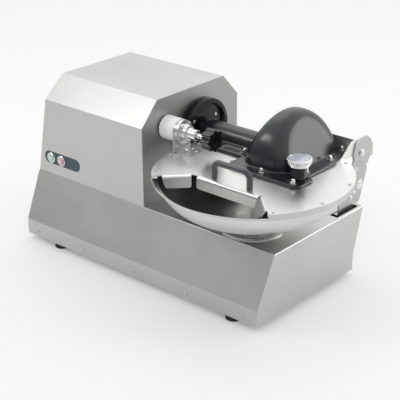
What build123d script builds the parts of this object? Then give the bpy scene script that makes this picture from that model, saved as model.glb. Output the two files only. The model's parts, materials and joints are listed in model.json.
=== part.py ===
from build123d import *
import math
import os

# Meat bowl cutter: a sheet-steel base and drive housing, a slowly turning bowl, a knife
# shaft that enters the bowl from the housing, and a hinged lid with the knife cover on it.
# Frame: origin under the middle of the machine at floor level, +X from the drive housing
# to the bowl, +Y from the operator to the rear, +Z up. All lengths are in millimetres.

os.makedirs("parts", exist_ok=True)

# ---- driving dimensions -------------------------------------------------------------

SHEET = 2.0
BEND = 3.0
RUNNING_FIT = 0.05
BELT_GAP = 0.3

# Base
FOOT_HEIGHT = 15.0
FOOT_R = 20.0
LIP_TOP = 57.0
DECK_Z = 180.0
BASE_RIGHT = 347.0
BASE_LEFT = -453.5
BASE_LEFT_LIP = -443.5
BASE_FRONT = -188.0
BASE_REAR = 201.0
DECK_FRONT = -127.0
DECK_REAR = 236.0
TRAY_HEIGHT = 24.0
LIP_SCREW_X = (-405, -232, -51, 127, 303)
LIP_SCREW_Z = 27.0
FOOT_X = (-334, 259)
FOOT_INSET = 22.0

# Drive housing
HOUSING_RIGHT = -63.5
HOUSING_LEFT_TOP = -402.5
HOUSING_TOP = 446.0
SHOULDER_Z = 386.0
SHOULDER_SETBACK = 56.0

# Operator panel on the front of the housing
PANEL_X = -360.0
PANEL_Z = 226.0
PANEL_LENGTH = 134.0
PANEL_HEIGHT = 34.0
PANEL_THICK = 0.8
START_X = -400.0
STOP_X = -361.0
BUTTON_R = 10.5
BEZEL_R = 14.5

# Bowl: a ring trough whose section is an arc about the knife shaft
BOWL_X = 214.5
BOWL_Y = -42.5
BOWL_RIM_R = 237.0
BOWL_RIM_Z = 311.0
BOWL_SHEET = 2.5
TROUGH_AT = 128.5
TROUGH_R = 98.5
LIP_FOOT_Z = 301.0
HUMP_Z = 274.0
FOOT_RING_Z = 222.0

# Knife shaft, parallel to X
SHAFT_Y = BOWL_Y + TROUGH_AT
SHAFT_Z = 332.5
SHAFT_R = 14.0
JOURNAL_R = 17.5
KNIFE_R = 96.0
KNIFE_THICK = 3.0
KNIFE_X = (200.0, 213.0, 226.0)
HUB_R = 28.0
BEARING_R = 35.0
COLLAR_R = 81.0
COLLAR_FACE = -37.0

# Lid
LID_TOP = 321.0
LID_SHEET = 2.5
LID_R = 240.0
SKIRT_BOTTOM = 306.0
LID_REAR = 206.0
LID_SIDE = 114.0
FLAP_BEND = 8.0
FLAP_TAIL = 22.0
FEED_LEFT = -135.0
FEED_RIGHT = -43.5
FEED_CHORD = 97.5

# Knife cover, moulded in one piece
COVER_WALL = 4.0
COVER_FLANGE = 7.0
DOME_R = 115.5
DOME_LEFT = 153.0
DOME_RIGHT = 302.0
DOME_LEAN = 20.0
DOME_EDGE = 31.0
DOME_CORNER = 58.0
TUBE_R = 31.0
TUBE_LEFT = -35.0
NUTS = ((131.5, 28), (240, -44), (335, -48), (320, 24), (316, 125), (303, 193),
        (131.5, 144), (146, 182))

# Thermometer
GAUGE_X = 332.0
GAUGE_Y = -22.0
GAUGE_Z = 361.0
GAUGE_R = 30.0

# Lid lock, parallel to X
LOCK_Y = -43.0
LOCK_Z = 371.0
LOCK_BARREL_R = 30.0

# Hinge
PIVOT_Y = 230.5
PIVOT_Z = 319.5
PIN_R = 6.0
BRACKET_X = 110.0
BRACKET_THICK = 3.0
GUSSET_THICK = 2.5
EAR_THICK = 4.5

# Drives inside the base
MOTOR_Z = 105.0
MOTOR_R = 62.0
MOTOR_PULLEY_R = 50.0
SHAFT_PULLEY_R = 30.0
BELT_X = -202.0
BELT_WIDTH = 24.0
BELT_THICK = 5.0
SPINDLE_R = 15.0
BOWL_PULLEY_R = 60.0
BOWL_MOTOR_X = 20.0
BOWL_MOTOR_PULLEY_R = 25.0
BOWL_BELT_Z = 56.0


# ---- helpers ------------------------------------------------------------------------

def save(piece, name):
    """Label a finished piece and write its STEP file."""
    piece.part.label = name
    export_step(piece.part, f"parts/{name}.step")


def turned(origin, axis, outline):
    """Solid of revolution: outline holds (radius, distance along the axis) pairs."""
    across = Vector(cross_direction(axis))
    plane = Plane(origin=origin, x_dir=across, z_dir=across.cross(Vector(axis)))
    with BuildPart() as solid:
        with BuildSketch(plane):
            with BuildLine():
                Polyline(*outline, close=True)
            make_face()
        revolve(axis=Axis(origin, axis))
    return solid.part


def cross_direction(axis):
    """A unit direction at right angles to a main axis."""
    return (0, 1, 0) if abs(axis[0]) > 0.5 else (1, 0, 0)


def screw(head_r, head_h, shank_r, length):
    """Screw along Z with a rounded head above z = 0 and its shank below."""
    with BuildPart() as body:
        Cylinder(head_r, head_h, align=(Align.CENTER, Align.CENTER, Align.MIN))
        chamfer(body.edges().sort_by(Axis.Z)[-1], head_h * 0.4)
        Cylinder(shank_r, length, align=(Align.CENTER, Align.CENTER, Align.MAX))
    return body.part


def facing(x, y, z, direction):
    """Plane at a point whose own Z looks along the given direction."""
    return Plane(origin=(x, y, z), x_dir=cross_direction(direction), z_dir=direction)


def bowl_plane():
    """Upright plane through the bowl's axis, with x as radius and y as height."""
    return Plane(origin=(BOWL_X, BOWL_Y, 0), x_dir=(1, 0, 0), z_dir=(0, -1, 0))


def bowl_axis():
    return Axis((BOWL_X, BOWL_Y, 0), (0, 0, 1))


def trough(radius, height, side):
    """Point at a height on an arc about the knife shaft, outer (+1) or inner (-1) side."""
    reach = math.sqrt(radius ** 2 - (SHAFT_Z - height) ** 2)
    return (TROUGH_AT + side * reach, height)


def lid_point(radius, degrees):
    """Point on the lid at a radius and angle about the bowl's axis."""
    angle = math.radians(degrees)
    return (BOWL_X + radius * math.cos(angle), BOWL_Y + radius * math.sin(angle))


# ---- base ---------------------------------------------------------------------------

def base_block(inset):
    """Leaning-walled block of the base, moved in from every wall but the floor."""
    front, rear = BASE_FRONT + inset, BASE_REAR - inset
    top = DECK_Z - inset
    with BuildPart() as block:
        with BuildSketch(Plane.YZ.offset(BASE_LEFT)):
            with BuildLine():
                Polyline((front, FOOT_HEIGHT), (front, LIP_TOP), (DECK_FRONT + inset, top),
                         (DECK_REAR - inset, top), (rear, LIP_TOP), (rear, FOOT_HEIGHT),
                         close=True)
            make_face()
        extrude(amount=BASE_RIGHT - inset - BASE_LEFT)
        with BuildSketch(Plane.XZ):
            with BuildLine():
                Polyline((BASE_LEFT_LIP + inset, FOOT_HEIGHT), (BASE_LEFT_LIP + inset, LIP_TOP),
                         (BASE_LEFT + inset, top), (BASE_RIGHT, top), (BASE_RIGHT, FOOT_HEIGHT),
                         close=True)
            make_face()
        extrude(amount=DECK_REAR * 2, both=True, mode=Mode.INTERSECT)
    return block.part


base_outer = base_block(0)
base_void = base_block(SHEET)
lip_holes = [(x, LIP_SCREW_Z) for x in LIP_SCREW_X]
hinge_slots = [(BOWL_X + side * (BRACKET_X + 3), 178) for side in (-1, 1)]

with BuildPart() as base_shell:
    add(base_outer)
    deck_edges = base_shell.faces().sort_by(Axis.Z)[-1].edges()
    end_edges = base_shell.faces().sort_by(Axis.X)[-1].edges().filter_by(
        lambda edge: edge.center().Z > FOOT_HEIGHT + 1)
    fillet(set(deck_edges + end_edges), BEND)
    add(base_void, mode=Mode.SUBTRACT)
    with BuildSketch(Plane.XY.offset(DECK_Z + 1)):
        with Locations((BOWL_X, BOWL_Y)):
            Circle(SPINDLE_R + 17)
        with Locations(*hinge_slots):
            RectangleRounded(24, 92, 3)
        with Locations((-297, 45)):
            RectangleRounded(265, 210, 6)
    extrude(amount=-BEND * 2, mode=Mode.SUBTRACT)
    with BuildSketch(Plane.XZ):
        with Locations(*lip_holes):
            Circle(2.6)
    extrude(amount=BASE_REAR + 5, both=True, mode=Mode.SUBTRACT)
save(base_shell, "base_shell")

tray_centre = ((BASE_LEFT_LIP + BASE_RIGHT) / 2, (BASE_FRONT + BASE_REAR) / 2)
tray_size = (BASE_RIGHT - BASE_LEFT_LIP - 2 * SHEET, BASE_REAR - BASE_FRONT - 2 * SHEET)
foot_places = [(x, y) for x in FOOT_X for y in (BASE_FRONT + FOOT_INSET, BASE_REAR - FOOT_INSET)]

with BuildPart() as bottom_tray:
    with BuildSketch(Plane.XY.offset(FOOT_HEIGHT)):
        with Locations(tray_centre):
            Rectangle(*tray_size)
    extrude(amount=TRAY_HEIGHT)
    with BuildSketch(Plane.XY.offset(FOOT_HEIGHT + SHEET)):
        with Locations(tray_centre):
            Rectangle(tray_size[0] - 2 * SHEET, tray_size[1] - 2 * SHEET)
    extrude(amount=TRAY_HEIGHT, mode=Mode.SUBTRACT)
    with BuildSketch(Plane.XY.offset(FOOT_HEIGHT)):
        with Locations(*foot_places):
            Circle(4)
        with Locations((-340, 0)):
            with GridLocations(14, 0, 9, 1):
                SlotOverall(60, 5, rotation=90)
    extrude(amount=SHEET, mode=Mode.SUBTRACT)
    with BuildSketch(Plane.XZ):
        with Locations(*lip_holes):
            Circle(2.6)
    extrude(amount=BASE_REAR + 5, both=True, mode=Mode.SUBTRACT)
save(bottom_tray, "bottom_tray")

lip_screw = screw(4.5, 2.4, 2.5, 7)
with BuildPart() as lip_screws:
    for x in LIP_SCREW_X:
        with Locations(facing(x, BASE_FRONT, LIP_SCREW_Z, (0, -1, 0))):
            add(lip_screw)
        with Locations(facing(x, BASE_REAR, LIP_SCREW_Z, (0, 1, 0))):
            add(lip_screw)
save(lip_screws, "lip_screws")

foot = turned((0, 0, 0), (0, 0, 1), [(0, 0), (FOOT_R - 2, 0), (FOOT_R, 2), (FOOT_R - 2, 11),
                                     (FOOT_R - 4, FOOT_HEIGHT), (4, FOOT_HEIGHT),
                                     (4, FOOT_HEIGHT + 9), (0, FOOT_HEIGHT + 9)])
with BuildPart() as rubber_feet:
    with Locations(*foot_places):
        add(foot)
save(rubber_feet, "rubber_feet")


# ---- drive housing ------------------------------------------------------------------

def housing_block(inset, right):
    """Chamfered housing body whose left wall leans in, open to the deck below."""
    front, rear = DECK_FRONT + inset, DECK_REAR - inset
    top = HOUSING_TOP - inset
    low = DECK_Z - inset
    with BuildPart() as block:
        with BuildSketch(Plane.YZ.offset(BASE_LEFT)):
            with BuildLine():
                Polyline((front, low), (front, SHOULDER_Z),
                         (front + SHOULDER_SETBACK, top), (rear - SHOULDER_SETBACK, top),
                         (rear, SHOULDER_Z), (rear, low), close=True)
            make_face()
        extrude(amount=right - BASE_LEFT)
        with BuildSketch(Plane.XZ):
            with BuildLine():
                Polyline((BASE_LEFT + inset, low), (HOUSING_LEFT_TOP + inset, top),
                         (right, top), (right, low), close=True)
            make_face()
        extrude(amount=DECK_REAR * 2, both=True, mode=Mode.INTERSECT)
    return block.part


housing_outer = housing_block(0, HOUSING_RIGHT - SHEET)
housing_void = housing_block(SHEET, HOUSING_RIGHT + SHEET)
button_places = [(START_X, PANEL_Z), (STOP_X, PANEL_Z)]
GLAND_X = -425.0
GLAND_Z = 215.0

with BuildPart() as housing_shell:
    add(housing_outer)
    fillet(housing_shell.faces().sort_by(Axis.X)[0].edges().filter_by(
        lambda edge: edge.center().Z > DECK_Z + 1), BEND)
    add(housing_void, mode=Mode.SUBTRACT)
    with BuildSketch(Plane.XZ.offset(-DECK_FRONT + 1)):
        with Locations(*button_places):
            Circle(13)
    extrude(amount=-SHEET * 3, mode=Mode.SUBTRACT)
    with BuildSketch(Plane.XZ.offset(-DECK_REAR - 1)):
        with Locations((GLAND_X, GLAND_Z)):
            Circle(10)
    extrude(amount=SHEET * 3, mode=Mode.SUBTRACT)
save(housing_shell, "housing_shell")

with BuildPart() as housing_end_panel:
    with BuildSketch(Plane.YZ.offset(HOUSING_RIGHT - SHEET)):
        with BuildLine():
            Polyline((DECK_FRONT, DECK_Z), (DECK_FRONT, SHOULDER_Z),
                     (DECK_FRONT + SHOULDER_SETBACK, HOUSING_TOP),
                     (DECK_REAR - SHOULDER_SETBACK, HOUSING_TOP),
                     (DECK_REAR, SHOULDER_Z), (DECK_REAR, DECK_Z), close=True)
        make_face()
        with Locations((SHAFT_Y, SHAFT_Z)):
            Circle(BEARING_R + 1, mode=Mode.SUBTRACT)
    extrude(amount=SHEET)
save(housing_end_panel, "housing_end_panel")

with BuildPart() as control_panel:
    with BuildSketch(Plane.XZ.offset(-DECK_FRONT)):
        with Locations((PANEL_X, PANEL_Z)):
            SlotOverall(PANEL_LENGTH, PANEL_HEIGHT)
        with Locations(*button_places):
            Circle(13, mode=Mode.SUBTRACT)
    extrude(amount=PANEL_THICK)
save(control_panel, "control_panel")

bezel = turned((0, 0, 0), (0, 0, 1), [(BUTTON_R + 0.4, -16), (13, -16), (13, 0),
                                      (BEZEL_R, 0), (BEZEL_R, 2.5), (BEZEL_R - 1.5, 4),
                                      (BUTTON_R + 0.4, 4)])
PANEL_FACE = DECK_FRONT - PANEL_THICK
with BuildPart() as button_bezels:
    with Locations(*[facing(x, PANEL_FACE, z, (0, -1, 0)) for x, z in button_places]):
        add(bezel)
save(button_bezels, "button_bezels")

button = turned((0, 0, 0), (0, 0, 1), [(0, -20), (4, -20), (4, -5), (BUTTON_R, -5),
                                       (BUTTON_R, 6), (BUTTON_R - 1.5, 7), (0, 7.5)])
with BuildPart() as start_button:
    with Locations(facing(START_X, PANEL_FACE, PANEL_Z, (0, -1, 0))):
        add(button)
save(start_button, "start_button")

with BuildPart() as stop_button:
    with Locations(facing(STOP_X, PANEL_FACE, PANEL_Z, (0, -1, 0))):
        add(button)
save(stop_button, "stop_button")

switch_y = PANEL_FACE + 16
with BuildPart() as button_switches:
    with BuildSketch(Plane.XZ.offset(-switch_y)):
        with Locations(*button_places):
            RectangleRounded(30, 34, 3)
    extrude(amount=-26)
    with BuildSketch(Plane.XZ.offset(-switch_y)):
        with Locations(*button_places):
            Circle(4.4)
    extrude(amount=-12, mode=Mode.SUBTRACT)
save(button_switches, "button_switches")

with BuildPart() as control_box:
    with BuildSketch(Plane.XY.offset(DECK_Z)):
        with Locations((-325, 193)):
            RectangleRounded(150, 66, 4)
    extrude(amount=110)
    fillet(control_box.faces().sort_by(Axis.Z)[-1].edges(), 3)
save(control_box, "control_box")

with BuildPart() as cable_gland:
    with BuildSketch(Plane.XZ.offset(-DECK_REAR)):
        with Locations((GLAND_X, GLAND_Z)):
            RegularPolygon(14, 6)
    extrude(amount=-7)
    with Locations(facing(GLAND_X, DECK_REAR + 7, GLAND_Z, (0, 1, 0))):
        Cone(12, 8, 14, align=(Align.CENTER, Align.CENTER, Align.MIN))
    with Locations(facing(GLAND_X, DECK_REAR, GLAND_Z, (0, 1, 0))):
        Cylinder(10, 14, align=(Align.CENTER, Align.CENTER, Align.MAX))
        Cylinder(5, 60, mode=Mode.SUBTRACT)
save(cable_gland, "cable_gland")


# ---- knife drive --------------------------------------------------------------------

SHAFT_END = -215.0
JOURNAL_LEFT = -160.0
JOURNAL_RIGHT = -66.0
NUT_X = 233.0
along_x = (1, 0, 0)
shaft_origin = (0, SHAFT_Y, SHAFT_Z)

with BuildPart() as knife_shaft:
    add(turned(shaft_origin, along_x, [
        (0, SHAFT_END), (SHAFT_R, SHAFT_END), (SHAFT_R, JOURNAL_LEFT),
        (JOURNAL_R, JOURNAL_LEFT), (JOURNAL_R, JOURNAL_RIGHT), (SHAFT_R, JOURNAL_RIGHT),
        (SHAFT_R, NUT_X), (11, NUT_X), (11, NUT_X + 20), (0, NUT_X + 20)]))
save(knife_shaft, "knife_shaft")

BEARING_X = (-155.0, -90.0)
BEARING_WIDTH = 14.0
with BuildPart() as shaft_bearings:
    for left in BEARING_X:
        right = left + BEARING_WIDTH
        add(turned(shaft_origin, along_x, [
            (JOURNAL_R + RUNNING_FIT, left), (BEARING_R - 12, left), (BEARING_R - 12, left + 1.5),
            (BEARING_R - 5, left + 1.5), (BEARING_R - 5, left), (BEARING_R, left),
            (BEARING_R, right), (BEARING_R - 5, right), (BEARING_R - 5, right - 1.5),
            (BEARING_R - 12, right - 1.5), (BEARING_R - 12, right),
            (JOURNAL_R + RUNNING_FIT, right)]))
save(shaft_bearings, "shaft_bearings")

HOUSING_TUBE_R = 46.0
with BuildPart() as bearing_housing:
    with BuildSketch(Plane.YZ.offset(JOURNAL_LEFT)):
        with Locations((SHAFT_Y, SHAFT_Z)):
            Circle(HOUSING_TUBE_R)
        with BuildLine():
            Polyline((SHAFT_Y - 60, DECK_Z), (SHAFT_Y - 36, SHAFT_Z - 20),
                     (SHAFT_Y + 36, SHAFT_Z - 20), (SHAFT_Y + 60, DECK_Z), close=True)
        make_face()
    extrude(amount=HOUSING_RIGHT - SHEET - JOURNAL_LEFT)
    with Locations(facing(JOURNAL_LEFT, SHAFT_Y, SHAFT_Z, along_x)):
        Cylinder(BEARING_R, 250, mode=Mode.SUBTRACT)
save(bearing_housing, "bearing_housing")

COLLAR_RECESS = 10.0
COLLAR_SCREW_AT = 50.0
collar_spots = [facing(COLLAR_FACE - COLLAR_RECESS,
                       SHAFT_Y + COLLAR_SCREW_AT * math.cos(math.radians(degrees)),
                       SHAFT_Z + COLLAR_SCREW_AT * math.sin(math.radians(degrees)), along_x)
                for degrees in (35, 145, 215, 325)]
with BuildPart() as shaft_collar:
    add(turned(shaft_origin, along_x, [
        (SHAFT_R + 2, HOUSING_RIGHT), (COLLAR_R, HOUSING_RIGHT), (COLLAR_R, HOUSING_RIGHT + 11),
        (COLLAR_R - 4, HOUSING_RIGHT + 12), (COLLAR_R - 4, HOUSING_RIGHT + 14),
        (COLLAR_R, HOUSING_RIGHT + 15), (COLLAR_R, COLLAR_FACE - 2),
        (COLLAR_R - 2, COLLAR_FACE), (COLLAR_R - 11, COLLAR_FACE),
        (COLLAR_R - 15, COLLAR_FACE - COLLAR_RECESS), (SHAFT_R + 2, COLLAR_FACE - COLLAR_RECESS)]))
    with Locations(*collar_spots):
        Cylinder(2.5, 8, align=(Align.CENTER, Align.CENTER, Align.MAX), mode=Mode.SUBTRACT)
save(shaft_collar, "shaft_collar")

collar_screw = screw(4.5, 3, 2.5, 8)
with BuildPart() as collar_screws:
    with Locations(*collar_spots):
        add(collar_screw)
save(collar_screws, "collar_screws")

with BuildPart() as shaft_pulley:
    add(turned(shaft_origin, along_x, [
        (SHAFT_R, BELT_X - 4), (SHAFT_PULLEY_R + 5, BELT_X - 4), (SHAFT_PULLEY_R + 5, BELT_X - 0.5),
        (SHAFT_PULLEY_R, BELT_X - 0.5), (SHAFT_PULLEY_R, BELT_X + BELT_WIDTH + 0.5),
        (SHAFT_PULLEY_R + 5, BELT_X + BELT_WIDTH + 0.5), (SHAFT_PULLEY_R + 5, BELT_X + BELT_WIDTH + 4),
        (SHAFT_R, BELT_X + BELT_WIDTH + 4)]))
save(shaft_pulley, "shaft_pulley")

HUB_LEFT = KNIFE_X[0] - 14
with BuildPart() as knife_hub:
    add(turned(shaft_origin, along_x, [
        (SHAFT_R, HUB_LEFT), (HUB_R - 8, HUB_LEFT), (HUB_R - 6, HUB_LEFT + 6),
        (HUB_R, HUB_LEFT + 8), (HUB_R, KNIFE_X[0]), (SHAFT_R, KNIFE_X[0])]))
save(knife_hub, "knife_hub")

with BuildPart() as knives:
    for index, knife_x in enumerate(KNIFE_X):
        turn = math.radians(120 * index - 40)
        with BuildSketch(Plane(origin=(knife_x, SHAFT_Y, SHAFT_Z),
                               x_dir=(0, math.cos(turn), math.sin(turn)), z_dir=along_x)):
            with BuildLine():
                edge = ThreePointArc((-8, 26.8), (48, 55), (94, 18))
                tip = Line(edge @ 1, (KNIFE_R - 0.5, 6))
                back = ThreePointArc(tip @ 1, (60, 14), (26, -10))
                Line(back @ 1, edge @ 0)
            make_face()
            Circle(HUB_R - 1)
            Circle(SHAFT_R, mode=Mode.SUBTRACT)
        extrude(amount=KNIFE_THICK)
save(knives, "knives")

with BuildPart() as knife_spacers:
    for knife_x in KNIFE_X:
        left = knife_x + KNIFE_THICK
        right = NUT_X if knife_x == KNIFE_X[-1] else left + 10
        add(turned(shaft_origin, along_x, [
            (SHAFT_R, left), (HUB_R - 4, left), (HUB_R - 4, right), (SHAFT_R, right)]))
save(knife_spacers, "knife_spacers")

with BuildPart() as knife_nut:
    with BuildSketch(Plane.YZ.offset(NUT_X)):
        with Locations((SHAFT_Y, SHAFT_Z)):
            RegularPolygon(22, 6)
            Circle(11, mode=Mode.SUBTRACT)
    extrude(amount=15)
    chamfer(knife_nut.faces().sort_by(Axis.X)[-1].outer_wire().edges(), 2)
save(knife_nut, "knife_nut")

motor_origin = (0, SHAFT_Y, MOTOR_Z)
MOTOR_LEFT = -430.0
MOTOR_RIGHT = -220.0
with BuildPart() as drive_motor:
    add(turned(motor_origin, along_x, [
        (0, MOTOR_LEFT), (MOTOR_R - 6, MOTOR_LEFT), (MOTOR_R, MOTOR_LEFT + 8),
        (MOTOR_R, MOTOR_LEFT + 40), (MOTOR_R - 8, MOTOR_LEFT + 42),
        (MOTOR_R - 8, MOTOR_RIGHT - 22), (MOTOR_R, MOTOR_RIGHT - 20),
        (MOTOR_R, MOTOR_RIGHT - 8), (MOTOR_R - 18, MOTOR_RIGHT), (0, MOTOR_RIGHT)]))
    with BuildSketch(Plane.YZ.offset(MOTOR_LEFT + 42)):
        with Locations((SHAFT_Y, MOTOR_Z)):
            with PolarLocations(MOTOR_R - 6, 16):
                Rectangle(12, 3)
    extrude(amount=MOTOR_RIGHT - MOTOR_LEFT - 64)
    with BuildSketch(Plane.XY.offset(FOOT_HEIGHT + SHEET)):
        with Locations((-325, SHAFT_Y)):
            with GridLocations(0, 96, 1, 2):
                Rectangle(120, 24)
    extrude(amount=8)
    with BuildSketch(Plane.XY.offset(FOOT_HEIGHT + SHEET)):
        with Locations((-325, SHAFT_Y)):
            Rectangle(100, 80)
    extrude(amount=50)
    with Locations(facing(MOTOR_RIGHT, SHAFT_Y, MOTOR_Z, along_x)):
        Cylinder(12 + RUNNING_FIT, 120, mode=Mode.SUBTRACT)
save(drive_motor, "drive_motor")

with BuildPart() as motor_shaft:
    add(turned(motor_origin, along_x, [(0, MOTOR_RIGHT - 59), (12, MOTOR_RIGHT - 59),
                                       (12, BELT_X + BELT_WIDTH + 8), (0, BELT_X + BELT_WIDTH + 8)]))
save(motor_shaft, "motor_shaft")

with BuildPart() as motor_pulley:
    add(turned(motor_origin, along_x, [
        (12, BELT_X - 4), (MOTOR_PULLEY_R + 5, BELT_X - 4), (MOTOR_PULLEY_R + 5, BELT_X - 0.5),
        (MOTOR_PULLEY_R, BELT_X - 0.5), (MOTOR_PULLEY_R, BELT_X + BELT_WIDTH + 0.5),
        (MOTOR_PULLEY_R + 5, BELT_X + BELT_WIDTH + 0.5), (MOTOR_PULLEY_R + 5, BELT_X + BELT_WIDTH + 4),
        (12, BELT_X + BELT_WIDTH + 4)]))
save(motor_pulley, "motor_pulley")


def belt_loop(plane, first, first_r, second, second_r):
    """Flat belt round two pulleys, a running gap off both of them."""
    with BuildPart() as loop:
        with BuildSketch(plane):
            with Locations(first):
                Circle(first_r + BELT_GAP + BELT_THICK)
            with Locations(second):
                Circle(second_r + BELT_GAP + BELT_THICK)
            make_hull()
        extrude(amount=BELT_WIDTH)
        with BuildSketch(plane):
            with Locations(first):
                Circle(first_r + BELT_GAP)
            with Locations(second):
                Circle(second_r + BELT_GAP)
            make_hull()
        extrude(amount=BELT_WIDTH, mode=Mode.SUBTRACT)
    return loop.part


knife_belt = belt_loop(Plane.YZ.offset(BELT_X), (SHAFT_Y, SHAFT_Z), SHAFT_PULLEY_R,
                       (SHAFT_Y, MOTOR_Z), MOTOR_PULLEY_R)
with BuildPart() as drive_belt:
    add(knife_belt)
save(drive_belt, "drive_belt")


# ---- bowl and its drive -------------------------------------------------------------

outer_trough = TROUGH_R + BOWL_SHEET
with BuildPart() as bowl:
    with BuildSketch(bowl_plane()):
        with BuildLine():
            under = HUMP_Z - BOWL_SHEET
            hump = Line((0, HUMP_Z), trough(TROUGH_R, HUMP_Z, -1))
            inside = ThreePointArc(hump @ 1, (TROUGH_AT, SHAFT_Z - TROUGH_R),
                                   trough(TROUGH_R, LIP_FOOT_Z, 1))
            lip = Line(inside @ 1, (BOWL_RIM_R, BOWL_RIM_Z))
            edge = Line(lip @ 1, (BOWL_RIM_R + 0.4, BOWL_RIM_Z - 2.5))
            under_lip = Line(edge @ 1, trough(outer_trough, LIP_FOOT_Z - 1.5, 1))
            outside = ThreePointArc(under_lip @ 1, (TROUGH_AT, SHAFT_Z - outer_trough),
                                    trough(outer_trough, under, -1))
            Polyline(outside @ 1, (0, under), (0, HUMP_Z))
        make_face()
        with BuildLine():
            Polyline((84, FOOT_RING_Z), (110, FOOT_RING_Z), (110, 234.2), (84, 243), close=True)
        make_face()
    revolve(axis=bowl_axis())
save(bowl, "bowl")

SPINDLE_BOTTOM = 50.0
spindle_origin = (BOWL_X, BOWL_Y, 0)
upward = (0, 0, 1)
with BuildPart() as bowl_spindle:
    add(turned(spindle_origin, upward, [
        (0, SPINDLE_BOTTOM), (SPINDLE_R, SPINDLE_BOTTOM), (SPINDLE_R, 190), (26, 196),
        (26, 208), (97, 214), (104, 216), (104, FOOT_RING_Z), (30, FOOT_RING_Z), (26, 250),
        (0, 250)]))
save(bowl_spindle, "bowl_spindle")

with BuildPart() as bowl_seat_ring:
    add(turned(spindle_origin, upward, [(32, DECK_Z - SHEET), (32, DECK_Z), (82, DECK_Z), (82, DECK_Z + 2),
                                        (78, DECK_Z + 5), (66, DECK_Z + 5), (62, DECK_Z + 2.5),
                                        (28, DECK_Z + 2.5), (28, DECK_Z - SHEET)]))
save(bowl_seat_ring, "bowl_seat_ring")

SPINDLE_BEARING_Z = (92.0, 156.0)
with BuildPart() as spindle_bearings:
    for low in SPINDLE_BEARING_Z:
        add(turned(spindle_origin, upward, [
            (SPINDLE_R + RUNNING_FIT, low), (21, low), (21, low + 1.5), (26, low + 1.5),
            (26, low), (30, low), (30, low + 14), (26, low + 14), (26, low + 12.5),
            (21, low + 12.5), (21, low + 14), (SPINDLE_R + RUNNING_FIT, low + 14)]))
save(spindle_bearings, "spindle_bearings")

with BuildPart() as spindle_housing:
    add(turned(spindle_origin, upward, [
        (30, 88), (38, 88), (38, 160), (44, 166), (75, 166), (75, DECK_Z - SHEET),
        (30, DECK_Z - SHEET)]))
save(spindle_housing, "spindle_housing")

with BuildPart() as bowl_pulley:
    add(turned(spindle_origin, upward, [
        (SPINDLE_R, BOWL_BELT_Z - 4), (BOWL_PULLEY_R + 5, BOWL_BELT_Z - 4),
        (BOWL_PULLEY_R + 5, BOWL_BELT_Z - 0.5), (BOWL_PULLEY_R, BOWL_BELT_Z - 0.5),
        (BOWL_PULLEY_R, BOWL_BELT_Z + BELT_WIDTH + 0.5), (BOWL_PULLEY_R + 5, BOWL_BELT_Z + BELT_WIDTH + 0.5),
        (BOWL_PULLEY_R + 5, BOWL_BELT_Z + BELT_WIDTH + 4), (SPINDLE_R, BOWL_BELT_Z + BELT_WIDTH + 4)]))
save(bowl_pulley, "bowl_pulley")

bowl_motor_origin = (BOWL_MOTOR_X, BOWL_Y, 0)
with BuildPart() as bowl_motor_pulley:
    add(turned(bowl_motor_origin, upward, [
        (0, BOWL_BELT_Z - 4), (BOWL_MOTOR_PULLEY_R + 4, BOWL_BELT_Z - 4),
        (BOWL_MOTOR_PULLEY_R + 4, BOWL_BELT_Z - 0.5), (BOWL_MOTOR_PULLEY_R, BOWL_BELT_Z - 0.5),
        (BOWL_MOTOR_PULLEY_R, BOWL_BELT_Z + BELT_WIDTH + 0.5),
        (BOWL_MOTOR_PULLEY_R + 4, BOWL_BELT_Z + BELT_WIDTH + 0.5),
        (BOWL_MOTOR_PULLEY_R + 4, BOWL_BELT_Z + BELT_WIDTH + 4), (9, BOWL_BELT_Z + BELT_WIDTH + 4),
        (9, 130), (0, 130)]))
save(bowl_motor_pulley, "bowl_motor_pulley")

bowl_loop = belt_loop(Plane.XY.offset(BOWL_BELT_Z), (BOWL_X, BOWL_Y), BOWL_PULLEY_R,
                      (BOWL_MOTOR_X, BOWL_Y), BOWL_MOTOR_PULLEY_R)
with BuildPart() as bowl_belt:
    add(bowl_loop)
save(bowl_belt, "bowl_belt")

with BuildPart() as bowl_gear_motor:
    with BuildSketch(Plane.XY.offset(98)):
        with Locations((BOWL_MOTOR_X, BOWL_Y)):
            RectangleRounded(90, 84, 8)
    extrude(amount=DECK_Z - SHEET - 98)
    with Locations(facing(BOWL_MOTOR_X - 40, BOWL_Y, 136, (-1, 0, 0))):
        Cylinder(36, 120, align=(Align.CENTER, Align.CENTER, Align.MIN))
    with Locations((BOWL_MOTOR_X, BOWL_Y, 98)):
        Cylinder(9 + RUNNING_FIT, 80, mode=Mode.SUBTRACT)
save(bowl_gear_motor, "bowl_gear_motor")


# ---- lid ----------------------------------------------------------------------------

def feed_outline():
    """Outline of the feed opening, from its inner corners out past the lid's rim."""
    far = LID_R + 30
    return [lid_point(far, FEED_LEFT), lid_point(144, FEED_LEFT),
            (BOWL_X - 87, BOWL_Y - FEED_CHORD), (BOWL_X + 98, BOWL_Y - FEED_CHORD),
            lid_point(139, FEED_RIGHT), lid_point(far, FEED_RIGHT),
            (BOWL_X, BOWL_Y - far * 1.5)]


def roll_point(radius, degrees):
    """Point of a flap's rolled edge, on a section that starts level with the lid's top."""
    angle = math.radians(degrees)
    return (radius * math.sin(angle), radius * math.cos(angle) - FLAP_BEND)


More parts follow.
